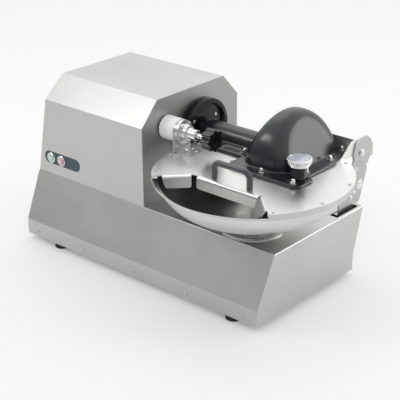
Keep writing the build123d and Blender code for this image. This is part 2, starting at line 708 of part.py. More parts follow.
def flap(start, end, degrees, tail):
    """Sheet flap that rolls down from the straight edge start to end, then runs on flat.

    The tail is an outline in lengths along the edge and up from the foot of the roll.
    """
    run = Vector(*end) - Vector(*start)
    hang = run.cross(Vector(0, 0, 1)).normalized()
    inner = FLAP_BEND - LID_SHEET
    reach, sink = roll_point(FLAP_BEND, degrees)
    foot = Vector(*start) + hang * reach + Vector(0, 0, LID_TOP + sink)
    angle = math.radians(degrees)
    climb = Vector(0, 0, 1) * math.sin(angle) - hang * math.cos(angle)
    with BuildPart() as strip:
        with BuildSketch(Plane(origin=(end[0], end[1], LID_TOP), x_dir=hang, z_dir=run * -1)):
            with BuildLine():
                outside = ThreePointArc(*[roll_point(FLAP_BEND, degrees * share)
                                          for share in (0, 0.5, 1)])
                inside = ThreePointArc(*[roll_point(inner, degrees * share)
                                         for share in (0, 0.5, 1)])
                Line(outside @ 0, inside @ 0)
                Line(outside @ 1, inside @ 1)
            make_face()
        extrude(amount=run.length)
        with BuildSketch(Plane(origin=foot, x_dir=run, z_dir=run.cross(climb))):
            with BuildLine():
                rounded = FilletPolyline(*tail, radius=5)
                Line(rounded @ 1, rounded @ 0)
            make_face()
        extrude(amount=-LID_SHEET)
    return strip.part


SHAFT_SLOT = 38.0
HUB_SLOT = 64.0
RIM_SCREW_AT = 231.0
rim_spots = [lid_point(RIM_SCREW_AT, degrees) for degrees in (-40.5, -10, 22, 55, 165, 190, 220)]
foot_spots = [(6, -45), (8, -26), (28, -36)]
KNIFE_SLOT_X = (192.0, 240.0)
KNIFE_SLOT_REACH = KNIFE_R + 3
feed = feed_outline()
left_flap = flap(lid_point(214, FEED_LEFT), lid_point(146, FEED_LEFT), 90,
                 [(0, 0), (7, -FLAP_TAIL), (68, -FLAP_TAIL), (68, 0)])
middle_flap = flap((BOWL_X - 85, BOWL_Y - FEED_CHORD), (BOWL_X + 96, BOWL_Y - FEED_CHORD), 90,
                   [(0, 0), (0, -FLAP_TAIL), (181, -FLAP_TAIL), (181, 0)])
right_flap = flap(lid_point(141, FEED_RIGHT), lid_point(218, FEED_RIGHT), 54,
                  [(0, 0), (0, -13), (42, -36), (60, -34), (76, -12), (77, 0)])

with BuildPart() as lid_plate:
    with BuildSketch(Plane.XY.offset(LID_TOP - LID_SHEET)):
        with Locations((BOWL_X, BOWL_Y)):
            Circle(LID_R)
        with BuildLine():
            Polyline((BOWL_X - LID_SIDE, 60), (BOWL_X + LID_SIDE, 60),
                     (BOWL_X + LID_SIDE, LID_REAR), (BOWL_X - LID_SIDE, LID_REAR), close=True)
        make_face()
    extrude(amount=LID_SHEET)
    with BuildSketch(Plane.XY.offset(SKIRT_BOTTOM)):
        with Locations((BOWL_X, BOWL_Y)):
            Circle(LID_R)
            Circle(LID_R - 1.5, mode=Mode.SUBTRACT)
    extrude(amount=LID_TOP - LID_SHEET - SKIRT_BOTTOM)
    with BuildSketch(Plane.XY.offset(SKIRT_BOTTOM - 1)):
        with BuildLine():
            Polyline(*feed, close=True)
        make_face()
    extrude(amount=30, mode=Mode.SUBTRACT)
    with BuildSketch(Plane.XY.offset(LID_TOP - LID_SHEET - 1)):
        with Locations(((KNIFE_SLOT_X[0] + KNIFE_SLOT_X[1]) / 2, SHAFT_Y)):
            Rectangle(KNIFE_SLOT_X[1] - KNIFE_SLOT_X[0], 2 * KNIFE_SLOT_REACH)
        with Locations((KNIFE_SLOT_X[0] / 2 - 30, SHAFT_Y)):
            Rectangle(KNIFE_SLOT_X[0] + 62, SHAFT_SLOT)
        with Locations((222, SHAFT_Y)):
            Rectangle(86, HUB_SLOT)
        with Locations((GAUGE_X, GAUGE_Y)):
            Circle(4)
        with Locations((130, -18)):
            SlotOverall(11, 4)
        with Locations(*rim_spots):
            Circle(2)
        with Locations(*foot_spots):
            Circle(2.5)
    extrude(amount=LID_SHEET + 2, mode=Mode.SUBTRACT)
    with BuildSketch(Plane.XY.offset(SKIRT_BOTTOM - 1)):
        with Locations((0, SHAFT_Y)):
            Rectangle(60, SHAFT_SLOT)
    extrude(amount=LID_TOP - SKIRT_BOTTOM, mode=Mode.SUBTRACT)
    add(left_flap)
    add(middle_flap)
    add(right_flap)
    with BuildSketch(Plane.XY.offset(LID_TOP)):
        with Locations(*NUTS):
            Circle(3)
    extrude(amount=COVER_FLANGE + 6)
save(lid_plate, "lid_plate")

with BuildPart() as lid_rim_seal:
    with BuildSketch(Plane.XY.offset(LID_TOP - LID_SHEET)):
        with Locations((BOWL_X, BOWL_Y)):
            Circle(LID_R - 3)
            Circle(LID_R - 15, mode=Mode.SUBTRACT)
        with BuildLine():
            Polyline(*feed, close=True)
        make_face(mode=Mode.SUBTRACT)
        with Locations((0, SHAFT_Y)):
            Rectangle(80, SHAFT_SLOT + 6, mode=Mode.SUBTRACT)
        with Locations(*rim_spots):
            Circle(2, mode=Mode.SUBTRACT)
    extrude(amount=-4.5)
save(lid_rim_seal, "lid_rim_seal")

rim_screw = screw(4.2, 2, 2, LID_SHEET + 4)
with BuildPart() as lid_screws:
    with Locations(*[(x, y, LID_TOP) for x, y in rim_spots]):
        add(rim_screw)
save(lid_screws, "lid_screws")

HANDLE_LEFT = 164.5
HANDLE_RIGHT = 269.5
HANDLE_Y = -124.0
HANDLE_R = 7.5
HANDLE_TOP = 360.0
with BuildPart() as lid_handle:
    with BuildLine():
        grip = FilletPolyline((HANDLE_LEFT, HANDLE_Y, LID_TOP), (HANDLE_LEFT, HANDLE_Y, HANDLE_TOP),
                              (HANDLE_RIGHT, HANDLE_Y, HANDLE_TOP), (HANDLE_RIGHT, HANDLE_Y, LID_TOP),
                              radius=17)
    with BuildSketch(Plane.XY.offset(LID_TOP)):
        with Locations((HANDLE_LEFT, HANDLE_Y)):
            Circle(HANDLE_R)
    sweep(path=grip)
save(lid_handle, "lid_handle")

with BuildPart() as handle_screws:
    for x in (HANDLE_LEFT, HANDLE_RIGHT):
        with Locations((x, HANDLE_Y, LID_TOP - LID_SHEET)):
            Cylinder(6.5, 3.5, align=(Align.CENTER, Align.CENTER, Align.MAX))
save(handle_screws, "handle_screws")


# ---- knife cover --------------------------------------------------------------------

def dome_block(inset, floor):
    """Arched box about the knife shaft with leaning, well-rounded sides."""
    radius = DOME_R - inset
    lean = math.tan(math.radians(DOME_LEAN))
    top = SHAFT_Z + DOME_R + 5
    rise = top - LID_TOP
    fall = LID_TOP - floor
    with BuildPart() as block:
        with BuildSketch(Plane.YZ.offset(DOME_LEFT - 20)):
            with Locations((SHAFT_Y, SHAFT_Z)):
                Circle(radius)
            with Locations((SHAFT_Y, SHAFT_Z)):
                Rectangle(2 * radius, SHAFT_Z - floor, align=(Align.CENTER, Align.MAX))
            with Locations((SHAFT_Y, floor)):
                Rectangle(3 * radius, 2 * radius, align=(Align.CENTER, Align.MAX),
                          mode=Mode.SUBTRACT)
        extrude(amount=DOME_RIGHT - DOME_LEFT + 40)
        with BuildSketch(Plane.XZ):
            with BuildLine():
                Polyline((DOME_LEFT + inset - fall * lean, floor), (DOME_RIGHT - inset + fall * lean, floor),
                         (DOME_RIGHT - inset - rise * lean, top), (DOME_LEFT + inset + rise * lean, top),
                         close=True)
            make_face()
        extrude(amount=500, both=True, mode=Mode.INTERSECT)
        rims = [face.edges().filter_by(lambda edge: edge.center().Z > floor + 0.5)
                for face in block.faces().filter_by(lambda face: abs(face.normal_at().X) > 0.5)]
        fillet([edge for rim in rims for edge in rim], DOME_EDGE - inset)
        with BuildSketch(Plane.XY.offset(floor)):
            with Locations(((DOME_LEFT + DOME_RIGHT) / 2, SHAFT_Y)):
                RectangleRounded(DOME_RIGHT - DOME_LEFT - 2 * inset + 1, 2 * radius + 1,
                                 DOME_CORNER - inset)
        extrude(amount=top - floor, mode=Mode.INTERSECT)
    return block.part


def tube_block(radius, left, right, floor):
    """Arched channel over the knife shaft."""
    with BuildPart() as block:
        with BuildSketch(Plane.YZ.offset(left)):
            with Locations((SHAFT_Y, SHAFT_Z - 1)):
                Circle(radius)
            with Locations((SHAFT_Y, SHAFT_Z - 1)):
                Rectangle(2 * radius, SHAFT_Z - 1 - floor, align=(Align.CENTER, Align.MAX))
            with Locations((SHAFT_Y, floor)):
                Rectangle(3 * radius, 2 * radius, align=(Align.CENTER, Align.MAX),
                          mode=Mode.SUBTRACT)
        extrude(amount=right - left)
    return block.part


dome_outer = dome_block(0, LID_TOP)
dome_void = dome_block(COVER_WALL, LID_TOP - 1)
tube_outer = tube_block(TUBE_R, TUBE_LEFT, DOME_LEFT + 25, LID_TOP)
tube_void = tube_block(TUBE_R - COVER_WALL, TUBE_LEFT - 1, DOME_LEFT + 35, LID_TOP - 1)

with BuildPart() as knife_cover:
    with BuildSketch(Plane.XY.offset(LID_TOP)):
        with BuildLine():
            FilletPolyline((20, 8), (140, 8), (140, -40), (160, -62), (342, -62), (357, -48),
                           (357, 0), (336, 12), (336, 120), (324, 144), (315, 176), (314, 203),
                           (130, 203), (130, 164), (104, 164), (104, 142), (62, 130), (20, 80),
                           radius=5, close=True)
        make_face()
    extrude(amount=COVER_FLANGE)
    add(dome_outer)
    add(tube_outer)
    add(dome_void, mode=Mode.SUBTRACT)
    add(tube_void, mode=Mode.SUBTRACT)
    with BuildSketch(Plane.XY.offset(LID_TOP + COVER_FLANGE)):
        with Locations((91, 27)):
            RectangleRounded(62, 30, 3)
            RectangleRounded(56, 24, 2, mode=Mode.SUBTRACT)
    extrude(amount=2)
    with BuildSketch(Plane.XY.offset(LID_TOP)):
        with Locations(*NUTS):
            Circle(3.3)
        with Locations((GAUGE_X, GAUGE_Y)):
            Circle(4)
    extrude(amount=COVER_FLANGE, mode=Mode.SUBTRACT)
save(knife_cover, "knife_cover")

FLANGE_TOP = LID_TOP + COVER_FLANGE
washer = turned((0, 0, 0), (0, 0, 1), [(3.3, 0), (8, 0), (8, 1.5), (3.3, 1.5)])
with BuildPart() as cover_washers:
    with Locations(*[(x, y, FLANGE_TOP) for x, y in NUTS]):
        add(washer)
save(cover_washers, "cover_washers")

with BuildPart() as cap_nut:
    with BuildSketch():
        RegularPolygon(6, 6)
    extrude(amount=5)
    Cylinder(4.6, 11, align=(Align.CENTER, Align.CENTER, Align.MIN))
    fillet(cap_nut.edges().sort_by(Axis.Z)[-1], 4)
    Cylinder(3, 5, align=(Align.CENTER, Align.CENTER, Align.MIN), mode=Mode.SUBTRACT)
with BuildPart() as cover_nuts:
    with Locations(*[(x, y, FLANGE_TOP + 1.5) for x, y in NUTS]):
        add(cap_nut.part)
save(cover_nuts, "cover_nuts")


# ---- thermometer --------------------------------------------------------------------

gauge_origin = (GAUGE_X, GAUGE_Y, 0)
with BuildPart() as thermometer_boss:
    add(turned(gauge_origin, upward, [
        (4, FLANGE_TOP), (17.5, FLANGE_TOP), (17.5, GAUGE_Z - 4), (16, GAUGE_Z), (4, GAUGE_Z)]))
save(thermometer_boss, "thermometer_boss")

with BuildPart() as thermometer_case:
    add(turned(gauge_origin, upward, [
        (0, 282), (3, 282), (3, GAUGE_Z), (20, GAUGE_Z), (25, GAUGE_Z + 4), (26, GAUGE_Z + 9),
        (GAUGE_R - 1.5, GAUGE_Z + 10), (GAUGE_R - 1.5, GAUGE_Z + 14), (GAUGE_R - 3, GAUGE_Z + 14.5),
        (GAUGE_R - 3, GAUGE_Z + 15.5), (GAUGE_R, GAUGE_Z + 16), (GAUGE_R, GAUGE_Z + 20.5),
        (GAUGE_R - 1.5, GAUGE_Z + 21.5),
        (GAUGE_R - 3.5, GAUGE_Z + 21.5), (GAUGE_R - 3.5, GAUGE_Z + 13), (1.5, GAUGE_Z + 13),
        (1.5, GAUGE_Z + 15.5), (0, GAUGE_Z + 15.5)]))
save(thermometer_case, "thermometer_case")

with BuildPart() as thermometer_needle:
    with BuildSketch(Plane.XY.offset(GAUGE_Z + 14)):
        with Locations((GAUGE_X, GAUGE_Y)):
            Circle(3)
        with BuildLine():
            Polyline((GAUGE_X - 1.2, GAUGE_Y - 7), (GAUGE_X + 1.2, GAUGE_Y - 7),
                     (GAUGE_X + 0.4, GAUGE_Y + 20), (GAUGE_X - 0.4, GAUGE_Y + 20), close=True)
        make_face()
        with Locations((GAUGE_X, GAUGE_Y)):
            Circle(1.5 + RUNNING_FIT, mode=Mode.SUBTRACT)
    extrude(amount=1)
save(thermometer_needle, "thermometer_needle")

with BuildPart() as thermometer_glass:
    with Locations((GAUGE_X, GAUGE_Y, GAUGE_Z + 18)):
        Cylinder(GAUGE_R - 3.5, 2, align=(Align.CENTER, Align.CENTER, Align.MIN))
save(thermometer_glass, "thermometer_glass")


# ---- lid lock -----------------------------------------------------------------------

lock_origin = (0, LOCK_Y, LOCK_Z)
LOCK_PLATE_X = -13.0
LOCK_PLATE_THICK = 5.0
LOCK_ROD_R = 6.0
with BuildPart() as lock_bracket:
    with BuildSketch(Plane.YZ.offset(LOCK_PLATE_X)):
        with Locations((LOCK_Y, LOCK_Z)):
            Circle(LOCK_BARREL_R)
        with Locations((LOCK_Y, LOCK_Z)):
            Rectangle(2 * LOCK_BARREL_R, LOCK_Z - LID_TOP, align=(Align.CENTER, Align.MAX))
        with Locations((LOCK_Y, LOCK_Z)):
            Circle(LOCK_ROD_R + 2, mode=Mode.SUBTRACT)
    extrude(amount=LOCK_PLATE_THICK)
    with BuildSketch(Plane.XY.offset(LID_TOP)):
        with BuildLine():
            FilletPolyline((-17, -68), (30, -68), (40, -56), (40, -22), (30, -14), (-17, -14),
                           radius=6, close=True)
        make_face()
        with Locations(*foot_spots):
            Circle(2.5, mode=Mode.SUBTRACT)
    extrude(amount=3)
save(lock_bracket, "lock_bracket")

foot_screw = screw(5, 3, 2.5, 5)
with BuildPart() as lock_bracket_screws:
    with Locations(*[(x, y, LID_TOP + 3) for x, y in foot_spots]):
        add(foot_screw)
save(lock_bracket_screws, "lock_bracket_screws")

with BuildPart() as lock_barrel:
    add(turned(lock_origin, along_x, [
        (LOCK_ROD_R + 0.3, HOUSING_RIGHT + 2.5), (LOCK_BARREL_R - 3, HOUSING_RIGHT + 2.5),
        (LOCK_BARREL_R, HOUSING_RIGHT + 5.5), (LOCK_BARREL_R, LOCK_PLATE_X),
        (LOCK_ROD_R + 0.3, LOCK_PLATE_X)]))
    with BuildSketch(Plane.YZ.offset(HOUSING_RIGHT + 2)):
        with Locations((LOCK_Y - 16, LOCK_Z - 20)):
            Rectangle(16, 8, rotation=50)
    extrude(amount=9, mode=Mode.SUBTRACT)
save(lock_barrel, "lock_barrel")

LOCK_FACE = LOCK_PLATE_X + LOCK_PLATE_THICK
with BuildPart() as lock_housing:
    add(turned(lock_origin, along_x, [
        (LOCK_ROD_R + 0.3, LOCK_FACE), (LOCK_BARREL_R - 0.5, LOCK_FACE),
        (LOCK_BARREL_R - 0.5, LOCK_FACE + 8), (20, LOCK_FACE + 9), (19, LOCK_FACE + 24),
        (14, LOCK_FACE + 25), (13, LOCK_FACE + 48), (12, LOCK_FACE + 49),
        (LOCK_ROD_R + 0.3, LOCK_FACE + 49)]))
save(lock_housing, "lock_housing")

KNOB_BACK = 68.0
with BuildPart() as lock_plunger:
    add(turned(lock_origin, along_x, [
        (0, HOUSING_RIGHT + 4), (LOCK_ROD_R - 1, HOUSING_RIGHT + 4), (LOCK_ROD_R, HOUSING_RIGHT + 5),
        (LOCK_ROD_R, KNOB_BACK + 15), (0, KNOB_BACK + 15)]))
    with Locations(facing(50, LOCK_Y, LOCK_Z, (0, 1, 0))):
        Cylinder(2, 20)
save(lock_plunger, "lock_plunger")

with BuildPart() as lock_knob:
    with BuildSketch(Plane.YZ.offset(KNOB_BACK + 6)):
        with Locations((LOCK_Y, LOCK_Z)):
            Circle(24)
            with PolarLocations(22, 8):
                Circle(6.5)
    extrude(amount=26)
    fillet(lock_knob.faces().sort_by(Axis.X)[-1].edges(), 2)
    with Locations(facing(KNOB_BACK, LOCK_Y, LOCK_Z, along_x)):
        Cone(11, 16, 6, align=(Align.CENTER, Align.CENTER, Align.MIN))
    with Locations(facing(KNOB_BACK, LOCK_Y, LOCK_Z, along_x)):
        Cylinder(LOCK_ROD_R, 15, align=(Align.CENTER, Align.CENTER, Align.MIN), mode=Mode.SUBTRACT)
save(lock_knob, "lock_knob")


# ---- hinge --------------------------------------------------------------------------

EAR_X = LID_SIDE + GUSSET_THICK

with BuildSketch() as gusset_outline:
    with BuildLine():
        Polyline((146, LID_TOP), (193, 358), (254, 357), (265, 344), (262, 308), (240, 299),
                 (216, 305), (208, LID_TOP - LID_SHEET), (174, LID_TOP - LID_SHEET), (174, LID_TOP),
                 close=True)
    make_face()
    with Locations((PIVOT_Y, PIVOT_Z)):
        Circle(PIN_R, mode=Mode.SUBTRACT)

with BuildSketch() as ear_outline:
    with BuildLine():
        FilletPolyline((200, 308), (197, 320), (207, 350), (219, 356), (254, 357), (270, 346),
                       (280, 330), (282, 299), (271, 299), (261, 283), radius=3, close=True)
    make_face()
    with Locations((PIVOT_Y, PIVOT_Z)):
        Circle(PIN_R, mode=Mode.SUBTRACT)

BRACKET_BOLTS = ((222, 275, 4.5), (241, 230, 9), (218, 215, 4.5), (204, 206, 4.5))
BOLT_NECK = 0.6
with BuildSketch() as bracket_outline:
    with BuildLine():
        Polyline((154, 165), (154, 206), (172, 240), (209, 298), (214, 318), (PIVOT_Y, PIVOT_Z),
                 (247, 318), (268, 279), (272, 265), (245, 187), (233, DECK_Z), (222, DECK_Z),
                 (222, 165), close=True)
    make_face()
    with Locations((PIVOT_Y, PIVOT_Z)):
        Circle(17)
        Circle(PIN_R + RUNNING_FIT, mode=Mode.SUBTRACT)
    for bolt_y, bolt_z, bolt_r in BRACKET_BOLTS:
        with Locations((bolt_y, bolt_z)):
            Circle(bolt_r * BOLT_NECK, mode=Mode.SUBTRACT)


def on_both_sides(outline, distance, thickness):
    """Upright sheet part at a distance right of the bowl's axis, with its twin on the left."""
    with BuildPart() as pair:
        with BuildSketch(Plane.YZ.offset(BOWL_X + distance)):
            add(outline)
        extrude(amount=thickness)
        mirror(about=Plane.YZ.offset(BOWL_X))
    return pair.part


gussets = on_both_sides(gusset_outline.sketch, LID_SIDE, GUSSET_THICK)
with BuildPart() as lid_rear_frame:
    with BuildSketch(Plane.XZ.offset(-LID_REAR)):
        with Locations((BOWL_X, LID_TOP - LID_SHEET)):
            Rectangle(2 * LID_SIDE, 40, align=(Align.CENTER, Align.MIN))
    extrude(amount=-LID_SHEET)
    add(gussets)
save(lid_rear_frame, "lid_rear_frame")

ears = on_both_sides(ear_outline.sketch, EAR_X, EAR_THICK)
with BuildPart() as hinge_ears:
    add(ears)
save(hinge_ears, "hinge_ears")

brackets = on_both_sides(bracket_outline.sketch, BRACKET_X, BRACKET_THICK)
with BuildPart() as hinge_brackets:
    add(brackets)
    with BuildSketch(Plane.XY.offset(DECK_Z - SHEET)):
        with Locations((BOWL_X + BRACKET_X - 14, 183), (BOWL_X - BRACKET_X + 14, 183)):
            Rectangle(34, 72)
    extrude(amount=-3)
save(hinge_brackets, "hinge_brackets")

pin = turned((0, 0, 0), (0, 0, 1), [(0, -16), (8.5, -16), (8.5, -12), (PIN_R, -12), (PIN_R, 0),
                                    (9, 0), (9, 3.5), (7, 5), (0, 5)])
with BuildPart() as hinge_pins:
    for side in (-1, 1):
        with Locations(facing(BOWL_X + side * (EAR_X + EAR_THICK), PIVOT_Y, PIVOT_Z, (side, 0, 0))):
            add(pin)
save(hinge_pins, "hinge_pins")

with BuildPart() as bracket_bolts:
    for y, z, radius in BRACKET_BOLTS:
        neck = radius * BOLT_NECK
        bolt = turned((0, 0, 0), (0, 0, 1), [
            (0, -BRACKET_THICK - 5), (radius, -BRACKET_THICK - 5), (radius, -BRACKET_THICK),
            (neck, -BRACKET_THICK), (neck, 0), (radius * 1.5, 0), (radius * 1.5, 1),
            (radius, 1), (radius * 0.8, 2.6), (0, 3)])
        for side in (-1, 1):
            with Locations(facing(BOWL_X + side * (BRACKET_X + BRACKET_THICK), y, z, (side, 0, 0))):
                add(bolt)
save(bracket_bolts, "bracket_bolts")
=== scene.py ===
# %% [markdown]
# # A meat bowl cutter, dressed for a studio picture
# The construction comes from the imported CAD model, which is loaded as a fixed frame. This lesson
# gives every piece its finish, models the moulded and printed details that the frame leaves
# plain, and sets up a camera and soft studio light. All lengths are in metres.

import json
import math

import bmesh
import bpy
from mathutils import Matrix, Vector

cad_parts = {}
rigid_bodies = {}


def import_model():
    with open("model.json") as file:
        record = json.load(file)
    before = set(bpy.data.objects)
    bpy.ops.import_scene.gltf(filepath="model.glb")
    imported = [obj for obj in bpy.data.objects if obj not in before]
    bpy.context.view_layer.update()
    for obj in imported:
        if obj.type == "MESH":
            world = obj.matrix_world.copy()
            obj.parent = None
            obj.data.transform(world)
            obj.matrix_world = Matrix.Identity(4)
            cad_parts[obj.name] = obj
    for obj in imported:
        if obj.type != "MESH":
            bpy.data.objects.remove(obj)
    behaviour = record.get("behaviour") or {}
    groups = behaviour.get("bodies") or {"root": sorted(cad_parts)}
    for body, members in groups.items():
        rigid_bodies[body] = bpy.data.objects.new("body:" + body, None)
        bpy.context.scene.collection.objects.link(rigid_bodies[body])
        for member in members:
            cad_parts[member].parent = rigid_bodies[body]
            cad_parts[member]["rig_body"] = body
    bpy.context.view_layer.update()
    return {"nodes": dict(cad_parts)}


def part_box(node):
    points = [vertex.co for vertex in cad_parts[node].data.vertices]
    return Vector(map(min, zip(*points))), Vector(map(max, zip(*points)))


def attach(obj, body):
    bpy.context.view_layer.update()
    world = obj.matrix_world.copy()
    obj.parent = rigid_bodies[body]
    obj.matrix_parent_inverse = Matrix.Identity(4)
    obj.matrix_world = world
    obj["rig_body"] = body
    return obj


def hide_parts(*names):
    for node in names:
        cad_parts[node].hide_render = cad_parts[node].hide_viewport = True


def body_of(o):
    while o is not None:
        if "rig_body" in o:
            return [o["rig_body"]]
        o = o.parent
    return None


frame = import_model()
nodes = frame["nodes"]

# %% [markdown]
# ## Camera
# A long lens from the front right, a little above, shows the machine with gentle perspective.
# The camera's turn is built from three angles: azimuth round the machine, pitch down, and a
# very small roll. Building the rotation from its own right, up and back directions is easier to
# follow than three Euler angles, because each direction can be read on its own.

# %% Camera
SENSOR = 36.0
LENS = 101.82
CAMERA_AT = Vector((1.7374, -1.96946, 1.34199))
AZIMUTH = math.radians(-41.245)
PITCH = math.radians(23.974)
ROLL = math.radians(-0.365)
CLIP_END = 50.0


def camera_matrix(place, azimuth, pitch, roll):
    """World matrix of a camera that looks along the given azimuth and pitch."""
    ahead = Vector((math.sin(azimuth) * math.cos(pitch), math.cos(azimuth) * math.cos(pitch),
                    -math.sin(pitch)))
    level = Vector((math.cos(azimuth), -math.sin(azimuth), 0))
    above = level.cross(ahead)
    right = level * math.cos(roll) + above * math.sin(roll)
    up = above * math.cos(roll) - level * math.sin(roll)
    turn = Matrix((right, up, -ahead)).transposed()
    return Matrix.Translation(place) @ turn.to_4x4()


camera_data = bpy.data.cameras.new("studio_camera")
camera_data.sensor_width = SENSOR
camera_data.lens = LENS
camera_data.clip_end = CLIP_END
camera = bpy.data.objects.new("studio_camera", camera_data)
bpy.context.scene.collection.objects.link(camera)
camera.matrix_world = camera_matrix(CAMERA_AT, AZIMUTH, PITCH, ROLL)
bpy.context.scene.camera = camera
print("camera at", tuple(round(value, 3) for value in CAMERA_AT))

# %% [markdown]
# ## Node helpers
# Materials are node graphs. Two small helpers keep them readable: one makes a node and sets its
# sockets by name, and one joins an output to an input.

# %% Node helpers
def new_node(tree, kind, **values):
    """Adds a node and sets attributes (lower case) or input sockets (by their shown names)."""
    node = tree.nodes.new(kind)
    for key, value in values.items():
        name = key.replace("_", " ")
        socket = next((s for s in node.inputs if s.name.lower() == name.lower()), None)
        if socket is not None and key[0].isupper():
            socket.default_value = value
        else:
            setattr(node, key, value)
    return node


def wire(tree, source, target):
    """Joins an output socket to an input socket."""
    tree.links.new(source, target)


def new_group(name, inputs, outputs):
    """Empty shader node group with float, vector or colour sockets."""
    group = bpy.data.node_groups.new(name, "ShaderNodeTree")
    for label, kind, value in inputs:
        socket = group.interface.new_socket(label, in_out="INPUT", socket_type=kind)
        socket.default_value = value
    for label, kind in outputs:
        group.interface.new_socket(label, in_out="OUTPUT", socket_type=kind)
    return group, group.nodes.new("NodeGroupInput"), group.nodes.new("NodeGroupOutput")


def place_group(tree, group, **values):
    """Puts a node group into a material with its own values."""
    node = tree.nodes.new("ShaderNodeGroup")
    node.node_tree = group
    for key, value in values.items():
        node.inputs[key.replace("_", " ")].default_value = value
    return node


# %% [markdown]
# ## Shared surface effects
# Brushed sheet has fine parallel scratches. A noise texture whose coordinates are squeezed along
# one direction gives streaks, and the same pattern drives colour, roughness and a slight bump.
# Spun parts carry the same streaks round their axis, so a second group swaps the coordinates for
# radius and height. A third group gives the soft patchiness that handling and wiping leave, and a
# fourth the fine grain of moulded plastic and cast iron. Each group gives one pattern, which a
# material can use as a mask or as a height.

# %% Streak group for brushed sheet
PATTERN_OUT = [("Pattern", "NodeSocketFloat")]


def build_streaks():
    """Noise stretched along a direction."""
    group, inlet, outlet = new_group(
        "brushed_streaks", [("Stretch", "NodeSocketVector", (4.0, 900.0, 900.0))], PATTERN_OUT)
    place = new_node(group, "ShaderNodeTexCoord")
    scale = new_node(group, "ShaderNodeVectorMath", operation="MULTIPLY")
    noise = new_node(group, "ShaderNodeTexNoise", Scale=1.0, Detail=3.0, Roughness=0.65)
    wire(group, place.outputs["Object"], scale.inputs[0])
    wire(group, inlet.outputs["Stretch"], scale.inputs[1])
    wire(group, scale.outputs[0], noise.inputs["Vector"])
    wire(group, noise.outputs[0], outlet.inputs["Pattern"])
    return group


streaks = build_streaks()
print("group", streaks.name)


# %% Ring group for spun and turned parts
def build_rings():
    """Streaks round an upright axis: noise over radius and height, almost constant by angle."""
    group, inlet, outlet = new_group(
        "spun_rings", [("Centre", "NodeSocketVector", (0, 0, 0)),
                       ("Density", "NodeSocketFloat", 700.0)], PATTERN_OUT)
    place = new_node(group, "ShaderNodeTexCoord")
    local = new_node(group, "ShaderNodeVectorMath", operation="SUBTRACT")
    flat = new_node(group, "ShaderNodeVectorMath", operation="MULTIPLY")
    flat.inputs[1].default_value = (1, 1, 0)
    radius = new_node(group, "ShaderNodeVectorMath", operation="LENGTH")
    split = new_node(group, "ShaderNodeSeparateXYZ")
    join = new_node(group, "ShaderNodeCombineXYZ")
    noise = new_node(group, "ShaderNodeTexNoise", Detail=3.0, Roughness=0.6)
    wire(group, place.outputs["Object"], local.inputs[0])
    wire(group, inlet.outputs["Centre"], local.inputs[1])
    wire(group, local.outputs[0], flat.inputs[0])
    wire(group, flat.outputs[0], radius.inputs[0])
    wire(group, local.outputs[0], split.inputs[0])
    wire(group, radius.outputs["Value"], join.inputs[0])
    wire(group, split.outputs["Z"], join.inputs[1])
    wire(group, join.outputs[0], noise.inputs["Vector"])
    wire(group, inlet.outputs["Density"], noise.inputs["Scale"])
    wire(group, noise.outputs[0], outlet.inputs["Pattern"])
    return group


rings = build_rings()
print("group", rings.name)


# %% Haze and grain groups
def build_noise_group(name, default_scale, detail):
    """Plain noise over the object."""
    group, inlet, outlet = new_group(
        name, [("Scale", "NodeSocketFloat", default_scale)], PATTERN_OUT)
    place = new_node(group, "ShaderNodeTexCoord")
    noise = new_node(group, "ShaderNodeTexNoise", Detail=detail, Roughness=0.55)
    wire(group, place.outputs["Object"], noise.inputs["Vector"])
    wire(group, inlet.outputs["Scale"], noise.inputs["Scale"])
    wire(group, noise.outputs[0], outlet.inputs["Pattern"])
    return group


haze = build_noise_group("wiped_haze", 9.0, 3.0)
grain = build_noise_group("moulded_grain", 900.0, 2.0)
print("groups", haze.name, grain.name)

# %% [markdown]
# ## Materials
# Each material is one Principled shader. `spread` maps a 0 to 1 mask onto the small range that
# roughness or brightness may move in, so that the numbers in each material are the limits
# between which its finish varies. Noise seldom leaves the range from `NOISE_LOW` to `NOISE_HIGH`.

# %% Material helpers
NOISE_LOW, NOISE_HIGH = 0.3, 0.7


def start_material(name, colour, metallic, roughness):
    """Material with a Principled shader set to plain values."""
    material = bpy.data.materials.new(name)
    material.use_nodes = True
    tree = material.node_tree
    shader = tree.nodes["Principled BSDF"]
    shader.inputs["Base Color"].default_value = (*colour, 1)
    shader.inputs["Metallic"].default_value = metallic
    shader.inputs["Roughness"].default_value = roughness
    return material, tree, shader


def spread(tree, source, low, high):
    """Maps a mask centred on one half onto low to high."""
    ranged = new_node(tree, "ShaderNodeMapRange")
    ranged.inputs["From Min"].default_value = NOISE_LOW
    ranged.inputs["From Max"].default_value = NOISE_HIGH
    ranged.inputs["To Min"].default_value = low
    ranged.inputs["To Max"].default_value = high
    wire(tree, source, ranged.inputs["Value"])
    return ranged.outputs["Result"]


def tint(tree, mask, dark, light):
    """Colour between two tones by a mask."""
    mix = new_node(tree, "ShaderNodeMix", data_type="RGBA")
    mix.inputs["A"].default_value = (*dark, 1)
    mix.inputs["B"].default_value = (*light, 1)
    wire(tree, mask, mix.inputs["Factor"])
    return mix.outputs["Result"]


def bump(tree, height, strength, distance):
    """Bump from a height pattern."""
    node = new_node(tree, "ShaderNodeBump", Strength=strength, Distance=distance)
    wire(tree, height, node.inputs["Height"])
    return node.outputs["Normal"]


def scaled(colour, factor):
    """Colour with each channel multiplied, and held at one."""
    return tuple(min(1.0, channel * factor) for channel in colour)
